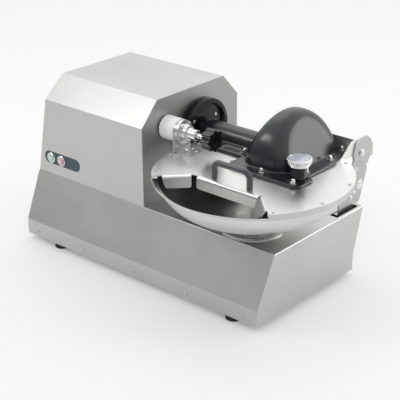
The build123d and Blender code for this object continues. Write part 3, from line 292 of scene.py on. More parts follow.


# %% [markdown]
# ### Brushed and spun stainless steel
# Bare metal takes its look from what it mirrors. The streaks only move the roughness and the
# tone by a few percent, as a close look at a clean kitchen machine shows, and the haze keeps big
# flat sheets from looking like plain grey card. Each steel is one base tone times a factor. The
# factors are painted light and shade for this scene's light, not measured values of the metal:
# the lid, frame and bowl are painted lighter, and the end panel and upright plates darker.

# %% Steel materials
STREAK_SHARE, HAZE_SHARE = 0.55, 0.45
SHEET_TONES, SPUN_TONES = (0.93, 1.05), (0.94, 1.04)
SHEET_SPREAD, SPUN_SPREAD = (-0.06, 0.07), (-0.05, 0.07)
SHEET_HAZE, SPUN_HAZE = 7.0, 8.0
SCRATCH_DEPTH = 0.0002
SPUN_BUMP = 0.06


def brushed_steel(name, colour, roughness, stretch, bump_strength=0.05):
    """Sheet with parallel brushing."""
    material, tree, shader = start_material(name, colour, 1.0, roughness)
    lines = place_group(tree, streaks, Stretch=stretch)
    patches = place_group(tree, haze, Scale=SHEET_HAZE)
    both = new_node(tree, "ShaderNodeMath", operation="MULTIPLY_ADD")
    both.inputs[1].default_value = STREAK_SHARE
    wire(tree, lines.outputs["Pattern"], both.inputs[0])
    soft = new_node(tree, "ShaderNodeMath", operation="MULTIPLY")
    soft.inputs[1].default_value = HAZE_SHARE
    wire(tree, patches.outputs["Pattern"], soft.inputs[0])
    wire(tree, soft.outputs[0], both.inputs[2])
    dark, light = (scaled(colour, factor) for factor in SHEET_TONES)
    glossy, dull = (roughness + change for change in SHEET_SPREAD)
    tone = spread(tree, both.outputs[0], 0.0, 1.0)
    wire(tree, tint(tree, tone, dark, light), shader.inputs["Base Color"])
    wire(tree, spread(tree, both.outputs[0], glossy, dull), shader.inputs["Roughness"])
    wire(tree, bump(tree, lines.outputs["Pattern"], bump_strength, SCRATCH_DEPTH),
         shader.inputs["Normal"])
    return material


def spun_steel(name, colour, roughness, centre, density=700.0):
    """Metal with turning marks round an upright axis."""
    material, tree, shader = start_material(name, colour, 1.0, roughness)
    lines = place_group(tree, rings, Centre=centre, Density=density)
    patches = place_group(tree, haze, Scale=SPUN_HAZE)
    dark, light = (scaled(colour, factor) for factor in SPUN_TONES)
    glossy, dull = (roughness + change for change in SPUN_SPREAD)
    tone = spread(tree, lines.outputs["Pattern"], 0.0, 1.0)
    wire(tree, tint(tree, tone, dark, light), shader.inputs["Base Color"])
    wire(tree, spread(tree, patches.outputs["Pattern"], glossy, dull), shader.inputs["Roughness"])
    wire(tree, bump(tree, lines.outputs["Pattern"], SPUN_BUMP, SCRATCH_DEPTH),
         shader.inputs["Normal"])
    return material


# %% [markdown]
# The lid's flaps are bent down and look darker than its top under this light. A mask from the
# surface direction paints shade on every upright face, and a second one, from the distance to the
# bowl's axis, paints less shade on the skirt at the rim. Masks keep the lid one piece with one
# material. This painted shade is set for this light: the real lid has one finish all over.

# %% Painted shade on the flaps
UPRIGHT_FROM, LEVEL_FROM = 0.35, 0.9
# Painted shade: how dark the upright flaps and the rim's skirt are painted.
FLAP_PAINTED_SHADE, RIM_PAINTED_SHADE = 0.5, 0.78
RIM_RADIUS, RIM_FADE = 0.235, 0.006


def paint_shade_on_upright(material, tone, centre, rim_radius):
    """Paints shade on upright faces, and less of it at the rim about a centre."""
    tree = material.node_tree
    shader = tree.nodes["Principled BSDF"]
    colour = shader.inputs["Base Color"].links[0].from_socket
    place = new_node(tree, "ShaderNodeTexCoord")
    split = new_node(tree, "ShaderNodeSeparateXYZ")
    wire(tree, place.outputs["Normal"], split.inputs[0])
    level = new_node(tree, "ShaderNodeMath", operation="ABSOLUTE")
    wire(tree, split.outputs["Z"], level.inputs[0])
    amount = new_node(tree, "ShaderNodeMapRange")
    amount.inputs["From Min"].default_value = UPRIGHT_FROM
    amount.inputs["From Max"].default_value = LEVEL_FROM
    amount.inputs["To Min"].default_value = tone
    wire(tree, level.outputs[0], amount.inputs["Value"])
    plan = new_node(tree, "ShaderNodeVectorMath", operation="MULTIPLY")
    plan.inputs[1].default_value = (1, 1, 0)
    wire(tree, place.outputs["Object"], plan.inputs[0])
    away = new_node(tree, "ShaderNodeVectorMath", operation="DISTANCE")
    away.inputs[1].default_value = (centre.x, centre.y, 0)
    wire(tree, plan.outputs["Vector"], away.inputs[0])
    rim = new_node(tree, "ShaderNodeMapRange")
    rim.inputs["From Min"].default_value = rim_radius - RIM_FADE
    rim.inputs["From Max"].default_value = rim_radius
    rim.inputs["To Max"].default_value = RIM_PAINTED_SHADE
    wire(tree, away.outputs["Value"], rim.inputs["Value"])
    lightest = new_node(tree, "ShaderNodeMath", operation="MAXIMUM")
    wire(tree, amount.outputs["Result"], lightest.inputs[0])
    wire(tree, rim.outputs["Result"], lightest.inputs[1])
    toned = new_node(tree, "ShaderNodeVectorMath", operation="SCALE")
    wire(tree, colour, toned.inputs[0])
    wire(tree, lightest.outputs[0], toned.inputs["Scale"])
    wire(tree, toned.outputs["Vector"], shader.inputs["Base Color"])


# %% Steels
STEEL = (0.68, 0.675, 0.66)
BOWL_LOW, BOWL_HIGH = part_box("bowl")
bowl_centre = (BOWL_LOW + BOWL_HIGH) / 2
ALONG_X = (5.0, 1100.0, 1100.0)
ALONG_Y = (1100.0, 5.0, 1100.0)
ALONG_Z = (1100.0, 1100.0, 5.0)
NO_DIRECTION = (400, 400, 400)
TURNED_ON_X = (1500, 60, 60)

# Painted light and shade: these factors make the lid, frame and bowl lighter and the end panel and
# upright plates darker than the one steel they all are.
steel_sheet = brushed_steel("steel_sheet", scaled(STEEL, 1.02), 0.36, ALONG_X)
steel_panel_painted_shade = brushed_steel("steel_panel_painted_shade", scaled(STEEL, 0.64), 0.5, ALONG_Y)
steel_upright = brushed_steel("steel_upright", scaled(STEEL, 0.84), 0.36, ALONG_Z)
steel_lid_painted_light_and_shade = brushed_steel("steel_lid_painted_light_and_shade", scaled(STEEL, 1.34), 0.34, ALONG_X, 0.03)
paint_shade_on_upright(steel_lid_painted_light_and_shade, FLAP_PAINTED_SHADE, bowl_centre, RIM_RADIUS)
steel_frame_painted_light = brushed_steel("steel_frame_painted_light", scaled(STEEL, 1.3), 0.5, ALONG_X, 0.03)
steel_bowl_painted_light = spun_steel("steel_bowl_painted_light", scaled(STEEL, 1.36), 0.30, bowl_centre)
steel_machined = brushed_steel("steel_machined", scaled(STEEL, 1.02), 0.25, NO_DIRECTION, 0.03)
steel_blade = brushed_steel("steel_blade", scaled(STEEL, 1.1), 0.2, ALONG_X, 0.03)
aluminium_turned = brushed_steel("aluminium_turned", (0.80, 0.81, 0.82), 0.28, TURNED_ON_X, 0.04)
print("steel finishes ready")

# %% [markdown]
# ### Chrome, plastics, rubber, castings and glass
# Chrome is nearly a mirror. The black parts differ mainly in gloss: the knob and the collar shine
# most, the cover and the handle have a smoother coat over a satin base, and the nylon and rubber
# are dull. Each has a fine grain so that highlights break up. A line below gives a finish's
# colour, roughness, grain scale and strength of grain.

# %% Other materials
MOULDED_HAZE = 12.0
MOULDED_TONES = (0.9, 1.12)
GRAIN_DEPTH = 0.0003
LEAST_ROUGHNESS = 0.03
COAT_ROUGHNESS_SHARE = 0.65


def grained(name, colour, roughness, grain_scale, bump_strength, metallic=0.0, spread_by=0.06,
            coat=0.0):
    """Moulded or cast surface with a fine grain and soft patches of gloss."""
    material, tree, shader = start_material(name, colour, metallic, roughness)
    specks = place_group(tree, grain, Scale=grain_scale)
    patches = place_group(tree, haze, Scale=MOULDED_HAZE)
    dark, light = (scaled(colour, factor) for factor in MOULDED_TONES)
    glossy = max(LEAST_ROUGHNESS, roughness - spread_by)
    wire(tree, tint(tree, spread(tree, patches.outputs["Pattern"], 0.0, 1.0), dark, light),
         shader.inputs["Base Color"])
    wire(tree, spread(tree, patches.outputs["Pattern"], glossy, roughness + spread_by),
         shader.inputs["Roughness"])
    wire(tree, bump(tree, specks.outputs["Pattern"], bump_strength, GRAIN_DEPTH),
         shader.inputs["Normal"])
    shader.inputs["Coat Weight"].default_value = coat
    shader.inputs["Coat Roughness"].default_value = roughness * COAT_ROUGHNESS_SHARE
    return material


chrome = grained("chrome", (0.86, 0.87, 0.88), 0.08, 300.0, 0.01, metallic=1.0, spread_by=0.03)
cover_plastic = grained("cover_plastic", (0.007, 0.009, 0.014), 0.30, 1200.0, 0.05,
                        spread_by=0.03, coat=0.6)
handle_coating = grained("handle_coating", (0.030, 0.035, 0.045), 0.36, 1600.0, 0.15, coat=1.0)
knob_plastic = grained("knob_plastic", (0.008, 0.008, 0.009), 0.16, 500.0, 0.02, coat=0.4)
collar_plastic = grained("collar_plastic", (0.004, 0.005, 0.007), 0.22, 500.0, 0.02)
black_nylon = grained("black_nylon", (0.020, 0.020, 0.021), 0.5, 900.0, 0.15)
white_acetal = grained("white_acetal", (0.95, 0.95, 0.95), 0.38, 700.0, 0.04)
rubber = grained("rubber", (0.014, 0.014, 0.014), 0.7, 1400.0, 0.3)
enamel = grained("enamel", (0.10, 0.12, 0.13), 0.4, 250.0, 0.15)
casting = grained("casting", (0.16, 0.165, 0.17), 0.5, 500.0, 0.4, metallic=0.8)
panel_film = grained("panel_film", (0.055, 0.085, 0.115), 0.4, 900.0, 0.05)
button_green = grained("button_green", (0.50, 0.66, 0.58), 0.12, 400.0, 0.01, coat=0.5)
button_red = grained("button_red", (0.72, 0.42, 0.42), 0.12, 400.0, 0.01, coat=0.5)
dial_white = grained("dial_white", (0.85, 0.88, 0.92), 0.4, 600.0, 0.01)
dial_ink = grained("dial_ink", (0.03, 0.035, 0.05), 0.5, 600.0, 0.01)


# %% Gauge glass with a painted reflection
# Glass colour: a slight tint, and in the diffuse share a painted pale-blue reflection of the
# surround.
GLASS_TINT_AND_PAINTED_REFLECTION = (0.84, 0.91, 0.98)
GLASS_CLEAR_SHARE = 0.55
GLASS_IOR = 1.5
GLASS_ROUGHNESS = (0.02, 0.06)
SMUDGE_SCALE = 40.0


def glass_with_painted_reflection(name):
    """Gauge glass that is part clear and part diffuse; the diffuse part's pale colour is a painted
    reflection, so that the face under it reads pale.
    """
    material, tree, shader = start_material(name, GLASS_TINT_AND_PAINTED_REFLECTION, 0.0, 0.03)
    shader.inputs["Transmission Weight"].default_value = GLASS_CLEAR_SHARE
    shader.inputs["IOR"].default_value = GLASS_IOR
    shader.inputs["Coat Weight"].default_value = 1.0
    smudges = place_group(tree, haze, Scale=SMUDGE_SCALE)
    wire(tree, spread(tree, smudges.outputs["Pattern"], *GLASS_ROUGHNESS),
         shader.inputs["Roughness"])
    return material


gauge_glass = glass_with_painted_reflection("gauge_glass")
print("finishes:", len(bpy.data.materials))

# %% [markdown]
# ## Finishes on the frame's own pieces
# Every CAD piece whose shape is right keeps its mesh and takes a finish. Round pieces are shaded
# smooth up to an edge angle, so that turned surfaces look round and sheet edges stay crisp.

# %% Assign finishes
finish_of = {
    "base_shell": steel_sheet, "bottom_tray": steel_sheet, "housing_shell": steel_sheet,
    "housing_end_panel": steel_panel_painted_shade, "lip_screws": steel_machined, "rubber_feet": rubber,
    "control_panel": panel_film, "button_bezels": chrome, "start_button": button_green,
    "stop_button": button_red, "button_switches": black_nylon, "control_box": enamel,
    "cable_gland": black_nylon, "knife_shaft": steel_machined, "shaft_bearings": steel_machined,
    "bearing_housing": casting, "shaft_collar": collar_plastic, "collar_screws": steel_machined,
    "shaft_pulley": casting, "knife_hub": steel_machined, "knives": steel_blade,
    "knife_spacers": white_acetal, "knife_nut": steel_machined, "drive_motor": enamel,
    "motor_shaft": steel_machined, "motor_pulley": casting, "drive_belt": rubber,
    "bowl": steel_bowl_painted_light, "bowl_spindle": steel_machined, "bowl_seat_ring": steel_machined,
    "spindle_bearings": steel_machined, "spindle_housing": casting, "bowl_pulley": casting,
    "bowl_motor_pulley": casting, "bowl_belt": rubber, "bowl_gear_motor": enamel,
    "lid_plate": steel_lid_painted_light_and_shade, "lid_rim_seal": white_acetal, "lid_screws": steel_machined,
    "lid_handle": handle_coating, "handle_screws": steel_machined, "knife_cover": cover_plastic,
    "cover_washers": steel_machined, "cover_nuts": chrome, "thermometer_boss": collar_plastic,
    "thermometer_case": chrome, "thermometer_needle": dial_ink, "thermometer_glass": gauge_glass,
    "lock_bracket": steel_upright, "lock_bracket_screws": chrome, "lock_barrel": white_acetal,
    "lock_housing": aluminium_turned, "lock_plunger": steel_machined, "lock_knob": knob_plastic,
    "lid_rear_frame": steel_frame_painted_light, "hinge_ears": steel_upright, "hinge_brackets": steel_upright,
    "hinge_pins": chrome, "bracket_bolts": chrome,
}
SMOOTH_ANGLE = math.radians(32)


def shade_smooth(piece, angle=SMOOTH_ANGLE):
    """Smooth shading with sharp edges kept above an angle."""
    bpy.ops.object.select_all(action="DESELECT")
    piece.select_set(True)
    bpy.context.view_layer.objects.active = piece
    bpy.ops.object.shade_smooth_by_angle(angle=angle)


for name, material in finish_of.items():
    piece = nodes[name]
    piece.data.materials.clear()
    piece.data.materials.append(material)
    shade_smooth(piece)
missing = sorted(set(nodes) - set(finish_of))
print("without a finish:", missing)

# %% [markdown]
# ## Folded edges on the sheet metal
# A press brake leaves a small radius along every fold, and that radius catches a bright line of
# light. The frame's sheets have sharp folds, so each is copied and only its outer folds are
# bevelled: edges that stick out between two large faces. Bevelling every edge would be simpler,
# but it would also swell the thin cut edges of the sheet. The copy's triangles are first joined
# into flat faces, except on the base, where joining them leaves a hole.

# %% Refined copies
WELD = 1e-6
FLAT_ANGLE = math.radians(0.6)
FLAT_FACE_WEIGHT = 90


def stand_in(name, mesh, material, suffix):
    """New piece that stands for a CAD node and moves with the same body."""
    piece = bpy.data.objects.new(name + suffix, mesh)
    bpy.context.scene.collection.objects.link(piece)
    mesh.materials.clear()
    mesh.materials.append(material)
    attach(piece, body_of(nodes[name])[0])
    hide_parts(name)
    return piece


def welded(name, flat):
    """The node's mesh welded up and, if flat, with its triangles joined into flat faces."""
    work = bmesh.new()
    work.from_mesh(nodes[name].data)
    bmesh.ops.remove_doubles(work, verts=work.verts, dist=WELD)
    if flat:
        bmesh.ops.dissolve_limit(work, angle_limit=FLAT_ANGLE, verts=work.verts,
                                 edges=work.edges)
    return work


def fold_edges(work, area, angle):
    """Outer folds: edges that stick out between two faces larger than an area."""
    return [edge for edge in work.edges
            if len(edge.link_faces) == 2 and edge.is_convex
            and min(face.calc_area() for face in edge.link_faces) > area
            and edge.calc_face_angle(0) > math.radians(angle)]


def bevelled(name, edges_of, width, segments=3, flat=True):
    """Stand-in with chosen edges rounded and its large faces kept flat-looking."""
    work = welded(name, flat)
    edges = edges_of(work)
    bmesh.ops.bevel(work, geom=edges, offset=width, segments=segments, profile=0.5, affect="EDGES",
                    clamp_overlap=True)
    mesh = bpy.data.meshes.new(name + "_folded")
    work.to_mesh(mesh)
    work.free()
    piece = stand_in(name, mesh, finish_of[name], "_folded")
    shade_smooth(piece)
    even = piece.modifiers.new("even_normals", "WEIGHTED_NORMAL")
    even.weight = FLAT_FACE_WEIGHT
    even.keep_sharp = True
    print(piece.name, "rounded edges:", len(edges))
    return piece


# %% Rounded folds and plate edges
FOLD_RADII = {"base_shell": 0.0016, "housing_shell": 0.0025, "housing_end_panel": 0.0012}
FOLD_FACE_AREA, FOLD_ANGLE = 8e-4, 15
PLATES = ("hinge_ears", "hinge_brackets", "lock_bracket", "knife_spacers", "control_panel")
PLATE_RADIUS = 0.0005
PLATE_FACE_AREA, PLATE_ANGLE = 1e-6, 40


def outer_folds(work):
    """Folds of a sheet: its convex edges between large faces."""
    return fold_edges(work, FOLD_FACE_AREA, FOLD_ANGLE)


def sharp_outline(work):
    """Every edge of a thick plate's outline."""
    return fold_edges(work, PLATE_FACE_AREA, PLATE_ANGLE)


for name, width in FOLD_RADII.items():
    bevelled(name, outer_folds, width, flat=name != "base_shell")
for name in PLATES:
    bevelled(name, sharp_outline, PLATE_RADIUS, segments=2)

# %% [markdown]
# ## The moulded knife cover
# The real cover is one moulding: dome, tube and flange run into each other with soft radii. The
# frame's solid has sharp joins. A voxel remesh turns it into one even skin, and smoothing that
# skin rounds every join alike, as a mould maker would. Modelling each fillet by hand would give
# more control and take far longer. The dome is smoothed much further through a vertex group that
# fades in above its foot, and the finished skin is thinned out.

# %% Knife cover
COVER_VOXEL = 0.0016
COVER_PASSES, DOME_PASSES = 14, 420
SMOOTHING = 0.5
FACES_KEPT = 0.3
DOME_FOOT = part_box("lid_plate")[1].z + 0.022
DOME_FADE = 0.02
COVER_SMOOTH_ANGLE = math.radians(60)


def baked_mesh(piece, name):
    """Mesh of a working object with its modifiers applied; the object itself is removed."""
    view = bpy.context.evaluated_depsgraph_get()
    mesh = bpy.data.meshes.new_from_object(piece.evaluated_get(view))
    mesh.name = name
    bpy.data.objects.remove(piece)
    return mesh


def moulded(name, voxel, passes, keep, dome_foot, dome_passes):
    """Stand-in with soft joins; everything above dome_foot is smoothed far more."""
    piece = bpy.data.objects.new(name + "_blank", nodes[name].data.copy())
    bpy.context.scene.collection.objects.link(piece)
    remesh = piece.modifiers.new("skin", "REMESH")
    remesh.mode = "VOXEL"
    remesh.voxel_size = voxel
    smooth = piece.modifiers.new("soften", "SMOOTH")
    smooth.factor = SMOOTHING
    smooth.iterations = passes
    skin = baked_mesh(piece, name + "_skin")
    blank = bpy.data.objects.new(name + "_skin", skin)
    bpy.context.scene.collection.objects.link(blank)
    dome = blank.vertex_groups.new(name="dome")
    for corner in skin.vertices:
        rise = (corner.co.z - dome_foot) / DOME_FADE
        if rise > 0:
            dome.add([corner.index], min(1.0, rise), "REPLACE")
    rounder = blank.modifiers.new("round_dome", "SMOOTH")
    rounder.factor = SMOOTHING
    rounder.iterations = dome_passes
    rounder.vertex_group = "dome"
    thin = blank.modifiers.new("thin_out", "DECIMATE")
    thin.ratio = keep
    mesh = baked_mesh(blank, name + "_moulded")
    made = stand_in(name, mesh, finish_of[name], "_moulded")
    shade_smooth(made, COVER_SMOOTH_ANGLE)
    print(made.name, "faces:", len(mesh.polygons))
    return made


moulded("knife_cover", COVER_VOXEL, COVER_PASSES, FACES_KEPT, DOME_FOOT, DOME_PASSES)

# %% [markdown]
# ## Helpers for small pieces
# The details below are built with bmesh, which holds a mesh while it is being edited. These
# helpers turn such a mesh into a piece and pull flat shapes out into thin plates.

# %% Helpers for small pieces
def new_piece(work, name, material):
    """Piece with the mesh that a bmesh holds; the bmesh is freed."""
    mesh = bpy.data.meshes.new(name)
    work.to_mesh(mesh)
    work.free()
    mesh.materials.append(material)
    piece = bpy.data.objects.new(name, mesh)
    bpy.context.scene.collection.objects.link(piece)
    return piece


def pull_out(work, faces, shift):
    """Extrudes faces and moves the new end by a vector."""
    pulled = bmesh.ops.extrude_face_region(work, geom=faces)
    moved = [part for part in pulled["geom"] if isinstance(part, bmesh.types.BMVert)]
    bmesh.ops.translate(work, verts=moved, vec=shift)


def unit_circle(count):
    """Points of a circle of radius one, as pairs."""
    angles = [2 * math.pi * index / count for index in range(count)]
    return [(math.cos(angle), math.sin(angle)) for angle in angles]


# %% [markdown]
# ## Thermometer dial
# Under the glass lies a pale printed disc with tick marks and plain numbers round the edge. Ticks
# are thin bars laid out by angle, and the numbers are upright text objects on a smaller circle.

# %% Dial plate
DIAL_R = 0.0262
DIAL_DROP = 0.0006
CORNER_ANGLE = 1.0
DISC_BEVEL_SHARE = 0.3


def flat_disc(name, centre, radius, material, body, around=64, thick=0.0004):
    """Thin round plate with a small bevel."""
    work = bmesh.new()
    bmesh.ops.create_cone(work, cap_ends=True, segments=around, radius1=radius, radius2=radius,
                          depth=thick)
    rims = [edge for edge in work.edges if edge.calc_face_angle(0) > CORNER_ANGLE]
    bmesh.ops.bevel(work, geom=rims, offset=thick * DISC_BEVEL_SHARE, segments=2, affect="EDGES")
    bmesh.ops.translate(work, verts=work.verts, vec=centre)
    piece = new_piece(work, name, material)
    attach(piece, body)
    return piece


case_low, case_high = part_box("thermometer_case")
needle_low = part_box("thermometer_needle")[0]
dial_at = Vector(((case_low.x + case_high.x) / 2, (case_low.y + case_high.y) / 2,
                  needle_low.z - DIAL_DROP))
flat_disc("dial_plate", dial_at, DIAL_R, dial_white, "lid")
print("dial at", tuple(round(value, 4) for value in dial_at))

# %% [markdown]
# Below the case, a tapered sleeve covers the gauge's stem. It is turned from a closed profile,
# as it would be on a lathe.

# %% Gauge sleeve
SLEEVE_BORE = 0.0178
SLEEVE_OVERLAP = 0.0005


def turned(name, profile, centre, material, body, around=96):
    """Closed round piece: a profile of (radius, height) points turned about an upright axis."""
    work = bmesh.new()
    hoops = [[work.verts.new((centre.x + radius * x, centre.y + radius * y, height))
              for x, y in unit_circle(around)] for radius, height in profile]
    for low_hoop, high_hoop in zip(hoops, hoops[1:] + hoops[:1]):
        for index in range(around):
            after = (index + 1) % around
            work.faces.new((low_hoop[index], low_hoop[after], high_hoop[after],
                            high_hoop[index]))
    bmesh.ops.recalc_face_normals(work, faces=work.faces)
    piece = new_piece(work, name, material)
    shade_smooth(piece)
    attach(piece, body)
    return piece


sleeve_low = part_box("cover_washers")[0].z
sleeve_high = case_low.z + SLEEVE_OVERLAP
sleeve_profile = [
    (SLEEVE_BORE, sleeve_low), (0.0192, sleeve_low), (0.0206, sleeve_low + 0.004),
    (0.0238, sleeve_high - 0.002), (0.0244, sleeve_high), (SLEEVE_BORE, sleeve_high)]
turned("gauge_sleeve", sleeve_profile, dial_at, collar_plastic, "lid")
print("gauge sleeve from", round(sleeve_low, 4), "to", round(sleeve_high, 4))

# %% Dial ticks
TICK_COUNT, TICKS_PER_NUMBER = 31, 5
FIRST_ANGLE, TICK_STEP = -120, 8
TICK_INNER, TICK_OUTER, TICK_WIDTH = 0.0222, 0.0242, 0.0003
LONG_TICK_EXTRA = 0.0022
TICK_LIFT = 0.00032
INK_THICK = 0.00008


def dial_ticks(count, first, step, inner, outer, width):
    """Bars round the dial, longer at each number."""
    work = bmesh.new()
    for index in range(count):
        angle = math.radians(first + step * index)
        near = inner - (LONG_TICK_EXTRA if index % TICKS_PER_NUMBER == 0 else 0)
        ahead = Vector((math.sin(angle), math.cos(angle), 0))
        side = Vector((ahead.y, -ahead.x, 0)) * width / 2
        lift = Vector((0, 0, TICK_LIFT))
        corners = [dial_at + lift + ahead * near - side, dial_at + lift + ahead * near + side,
                   dial_at + lift + ahead * outer + side, dial_at + lift + ahead * outer - side]
        face = work.faces.new([work.verts.new(corner) for corner in corners])
        pull_out(work, [face], (0, 0, INK_THICK))
    bmesh.ops.recalc_face_normals(work, faces=work.faces)
    piece = new_piece(work, "dial_ticks", dial_ink)
    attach(piece, "lid")
    return piece


dial_ticks(TICK_COUNT, FIRST_ANGLE, TICK_STEP, TICK_INNER, TICK_OUTER, TICK_WIDTH)
print("ticks:", TICK_COUNT)

# %% Dial numbers
NUMBERS = ("0", "20", "40", "60", "80", "100", "120")
NUMBER_CIRCLE, NUMBER_SIZE = 0.0168, 0.0042
NUMBER_LIFT = 0.00036
NUMBER_THICK = 0.00004


def dial_number(text, degrees, radius, size):
    """Plain upright number on the dial."""
    font = bpy.data.curves.new("dial_number_" + text, "FONT")
    font.body = text
    font.size = size
    font.align_x = "CENTER"
    font.align_y = "CENTER"
    font.extrude = NUMBER_THICK
    font.materials.append(dial_ink)
    piece = bpy.data.objects.new("dial_number_" + text, font)
    bpy.context.scene.collection.objects.link(piece)
    angle = math.radians(degrees)
    spot = dial_at + Vector((math.sin(angle) * radius, math.cos(angle) * radius, NUMBER_LIFT))
    piece.matrix_world = Matrix.Translation(spot)
    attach(piece, "lid")


for index, text in enumerate(NUMBERS):
    dial_number(text, FIRST_ANGLE + TICK_STEP * TICKS_PER_NUMBER * index, NUMBER_CIRCLE,
                NUMBER_SIZE)
print("numbers:", len(NUMBERS))

# %% [markdown]
# ## Cap screws on the lock
# Four cap screws hold the turned lock housing to its bracket. Each is a short cylinder with a
# rounded rim and a round recess, made by insetting and sinking the top face.

# %% Lock cap screws
SCREW_ANGLES = (45, 135, 225, 315)
SCREW_CIRCLE = 0.0245
SCREW_RADIUS, SCREW_HEIGHT = 0.0038, 0.0035
FLANGE_THICK = 0.008
RIM_SHARE, RECESS_INSET_SHARE, RECESS_DEPTH_SHARE = 0.18, 0.35, 0.6


def cap_screw(name, centre, axis, radius, height, material, body):
    """Cap screw whose head stands on a surface along an axis."""
    work = bmesh.new()
    bmesh.ops.create_cone(work, cap_ends=True, segments=36, radius1=radius, radius2=radius,
                          depth=height)
    top = max(work.faces, key=lambda face: face.calc_center_median().z)
    bmesh.ops.bevel(work, geom=list(top.edges), offset=radius * RIM_SHARE, segments=3,
                    profile=0.5, affect="EDGES")
    top = max(work.faces,
              key=lambda face: (round(face.calc_center_median().z, 6), face.calc_area()))
    bmesh.ops.inset_individual(work, faces=[top], thickness=radius * RECESS_INSET_SHARE)
    top = max(work.faces,
              key=lambda face: (round(face.calc_center_median().z, 6), len(face.verts)))
    pull_out(work, [top], (0, 0, -height * RECESS_DEPTH_SHARE))
    bmesh.ops.delete(work, geom=[top], context="FACES_ONLY")
    turn = Vector((0, 0, 1)).rotation_difference(Vector(axis)).to_matrix().to_4x4()
    stand = Matrix.Translation(Vector(centre) + Vector(axis) * height / 2)
    bmesh.ops.transform(work, matrix=stand @ turn, verts=work.verts)
    piece = new_piece(work, name, material)
    shade_smooth(piece)
    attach(piece, body)
    return piece


housing_low, housing_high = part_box("lock_housing")
lock_y = (housing_low.y + housing_high.y) / 2
lock_z = (housing_low.z + housing_high.z) / 2
flange_face = housing_low.x + FLANGE_THICK
for index, degrees in enumerate(SCREW_ANGLES):
    angle = math.radians(degrees)
    spot = (flange_face, lock_y + SCREW_CIRCLE * math.cos(angle),
            lock_z + SCREW_CIRCLE * math.sin(angle))
    cap_screw("lock_cap_screw_%d" % index, spot, (1, 0, 0), SCREW_RADIUS, SCREW_HEIGHT,
              steel_machined, "lid")
print("lock cap screws on x =", round(flange_face, 4))

# %% [markdown]
# ## Marks on the push buttons
# The start button carries a bar and the stop button a ring, the common signs for on and off. They
# are shallow raised shapes that travel with the button caps.

# %% Button marks
RING_OUTER, RING_INNER, RING_SIDES = 0.0046, 0.0034, 40
BAR_HALF_WIDTH, BAR_HALF_HEIGHT = 0.0007, 0.0045
MARK_THICK = 0.0003


def button_mark(node, name, material, ring):
    """Bar or ring on the face of a push button, which looks along -Y."""
    low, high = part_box(node)
    centre = Vector(((low.x + high.x) / 2, low.y, (low.z + high.z) / 2))
    work = bmesh.new()
    if ring:
        outer, inner = ([work.verts.new(centre + Vector((x * radius, 0, z * radius)))
                         for x, z in unit_circle(RING_SIDES)]
                        for radius in (RING_OUTER, RING_INNER))
        for index in range(RING_SIDES):
            after = (index + 1) % RING_SIDES
            work.faces.new((outer[index], outer[after], inner[after], inner[index]))
    else:
        signs = ((-1, -1), (1, -1), (1, 1), (-1, 1))
        work.faces.new([work.verts.new(centre + Vector((x * BAR_HALF_WIDTH, 0,
                                                        z * BAR_HALF_HEIGHT)))
                        for x, z in signs])
    bmesh.ops.recalc_face_normals(work, faces=work.faces)
    pull_out(work, list(work.faces), (0, -MARK_THICK, 0))
    bmesh.ops.recalc_face_normals(work, faces=work.faces)
    piece = new_piece(work, name, material)
    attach(piece, node)


button_mark("start_button", "start_mark", white_acetal, False)
button_mark("stop_button", "stop_mark", white_acetal, True)
print("button marks made")

# %% [markdown]
# ## Studio
# A large pale floor, a bright surround and three area lamps. The surround is plain white where
# the camera or glass looks at it. Brushed metal mirrors it as a soft gradient, white above and
# behind and greyer low in front, as the walls of a real studio are, and that is what tells one
# folded face of the casing from the next.

# %% Floor
FLOOR_HALF = 9.0
FLOOR_COLOUR = (0.80, 0.80, 0.80)
FLOOR_GLOW = 0.2


def make_floor():
    """Flat floor under the machine, which glows a little where the camera sees it."""
    mesh = bpy.data.meshes.new("studio_floor")
    corners = [(-FLOOR_HALF, -FLOOR_HALF, 0), (FLOOR_HALF, -FLOOR_HALF, 0),
               (FLOOR_HALF, FLOOR_HALF, 0), (-FLOOR_HALF, FLOOR_HALF, 0)]
    mesh.from_pydata(corners, [], [(0, 1, 2, 3)])
    floor = bpy.data.objects.new("studio_floor", mesh)
    bpy.context.scene.collection.objects.link(floor)
    material, tree, shader = start_material("floor_white", FLOOR_COLOUR, 0.0, 0.6)
    path = new_node(tree, "ShaderNodeLightPath")
    shader.inputs["Emission Color"].default_value = (1, 1, 1, 1)
    glow = new_node(tree, "ShaderNodeMath", operation="MULTIPLY")
    glow.inputs[1].default_value = FLOOR_GLOW
    wire(tree, path.outputs["Is Camera Ray"], glow.inputs[0])
    wire(tree, glow.outputs[0], shader.inputs["Emission Strength"])
    mesh.materials.append(material)
    return floor


floor = make_floor()
print("floor", FLOOR_HALF * 2, "m wide")

# %% Surround
GREY_UP_TO, WHITE_FROM = 0.12, 0.62
MIRRORED_LOW, MIRRORED_HIGH = 0.52, 0.92
REAR_GAIN = 0.30
DIFFUSE_LEVEL = 0.84


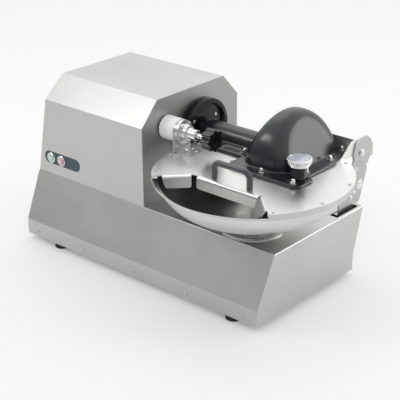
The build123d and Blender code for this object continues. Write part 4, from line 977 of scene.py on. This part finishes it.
def make_world(dim):
    """White surround for the camera and glass, a gradient in mirrors, and dim for diffuse light."""
    world = bpy.data.worlds.new("studio_surround")
    world.use_nodes = True
    tree = world.node_tree
    background = tree.nodes["Background"]
    background.inputs["Color"].default_value = (1, 1, 1, 1)
    place = new_node(tree, "ShaderNodeTexCoord")
    split = new_node(tree, "ShaderNodeSeparateXYZ")
    wire(tree, place.outputs["Generated"], split.inputs[0])
    height = new_node(tree, "ShaderNodeMapRange", interpolation_type="SMOOTHSTEP")
    height.inputs["From Min"].default_value = GREY_UP_TO
    height.inputs["From Max"].default_value = WHITE_FROM
    height.inputs["To Min"].default_value = MIRRORED_LOW
    height.inputs["To Max"].default_value = MIRRORED_HIGH
    wire(tree, split.outputs["Z"], height.inputs["Value"])
    depth = new_node(tree, "ShaderNodeMath", operation="MULTIPLY_ADD")
    depth.inputs[1].default_value = REAR_GAIN
    wire(tree, split.outputs["Y"], depth.inputs[0])
    wire(tree, height.outputs["Result"], depth.inputs[2])
    path = new_node(tree, "ShaderNodeLightPath")
    mirror = new_node(tree, "ShaderNodeMix", data_type="FLOAT")
    mirror.inputs["A"].default_value = dim
    wire(tree, path.outputs["Is Glossy Ray"], mirror.inputs["Factor"])
    wire(tree, depth.outputs[0], mirror.inputs["B"])
    clear = new_node(tree, "ShaderNodeMath", operation="MAXIMUM")
    wire(tree, path.outputs["Is Camera Ray"], clear.inputs[0])
    wire(tree, path.outputs["Is Transmission Ray"], clear.inputs[1])
    strength = new_node(tree, "ShaderNodeMix", data_type="FLOAT")
    strength.inputs["B"].default_value = 1.0
    wire(tree, clear.outputs[0], strength.inputs["Factor"])
    wire(tree, mirror.outputs["Result"], strength.inputs["A"])
    wire(tree, strength.outputs["Result"], background.inputs["Strength"])
    bpy.context.scene.world = world


make_world(DIFFUSE_LEVEL)
print("surround:", bpy.context.scene.world.name)

# %% [markdown]
# Each lamp has a place, the side of its square in metres and a power in watts. The strongest one
# stands low behind on the right, where it lights the base's end.

# %% Lamps
TARGET = (0.0, 0.0, 0.2)
LAMPS = {
    "overhead_lamp": ((-1.2, 0.9, 2.6), 1.4, 3.5),
    "rear_right_lamp": ((2.1, 2.0, 0.9), 1.4, 14),
    "front_left_lamp": ((-1.6, -1.55, 2.1), 0.6, 6.5),
}


def soft_lamp(name, place, target, size, power):
    """Square area lamp aimed at a point."""
    lamp = bpy.data.lights.new(name, "AREA")
    lamp.shape = "SQUARE"
    lamp.size = size
    lamp.energy = power
    piece = bpy.data.objects.new(name, lamp)
    bpy.context.scene.collection.objects.link(piece)
    aim = (Vector(target) - Vector(place)).to_track_quat("-Z", "Y")
    piece.matrix_world = Matrix.Translation(Vector(place)) @ aim.to_matrix().to_4x4()
    return piece


for name, (place, size, power) in LAMPS.items():
    soft_lamp(name, place, TARGET, size, power)
bpy.context.scene.view_settings.view_transform = "Standard"
print("lamps:", [lamp.name for lamp in bpy.data.lights])
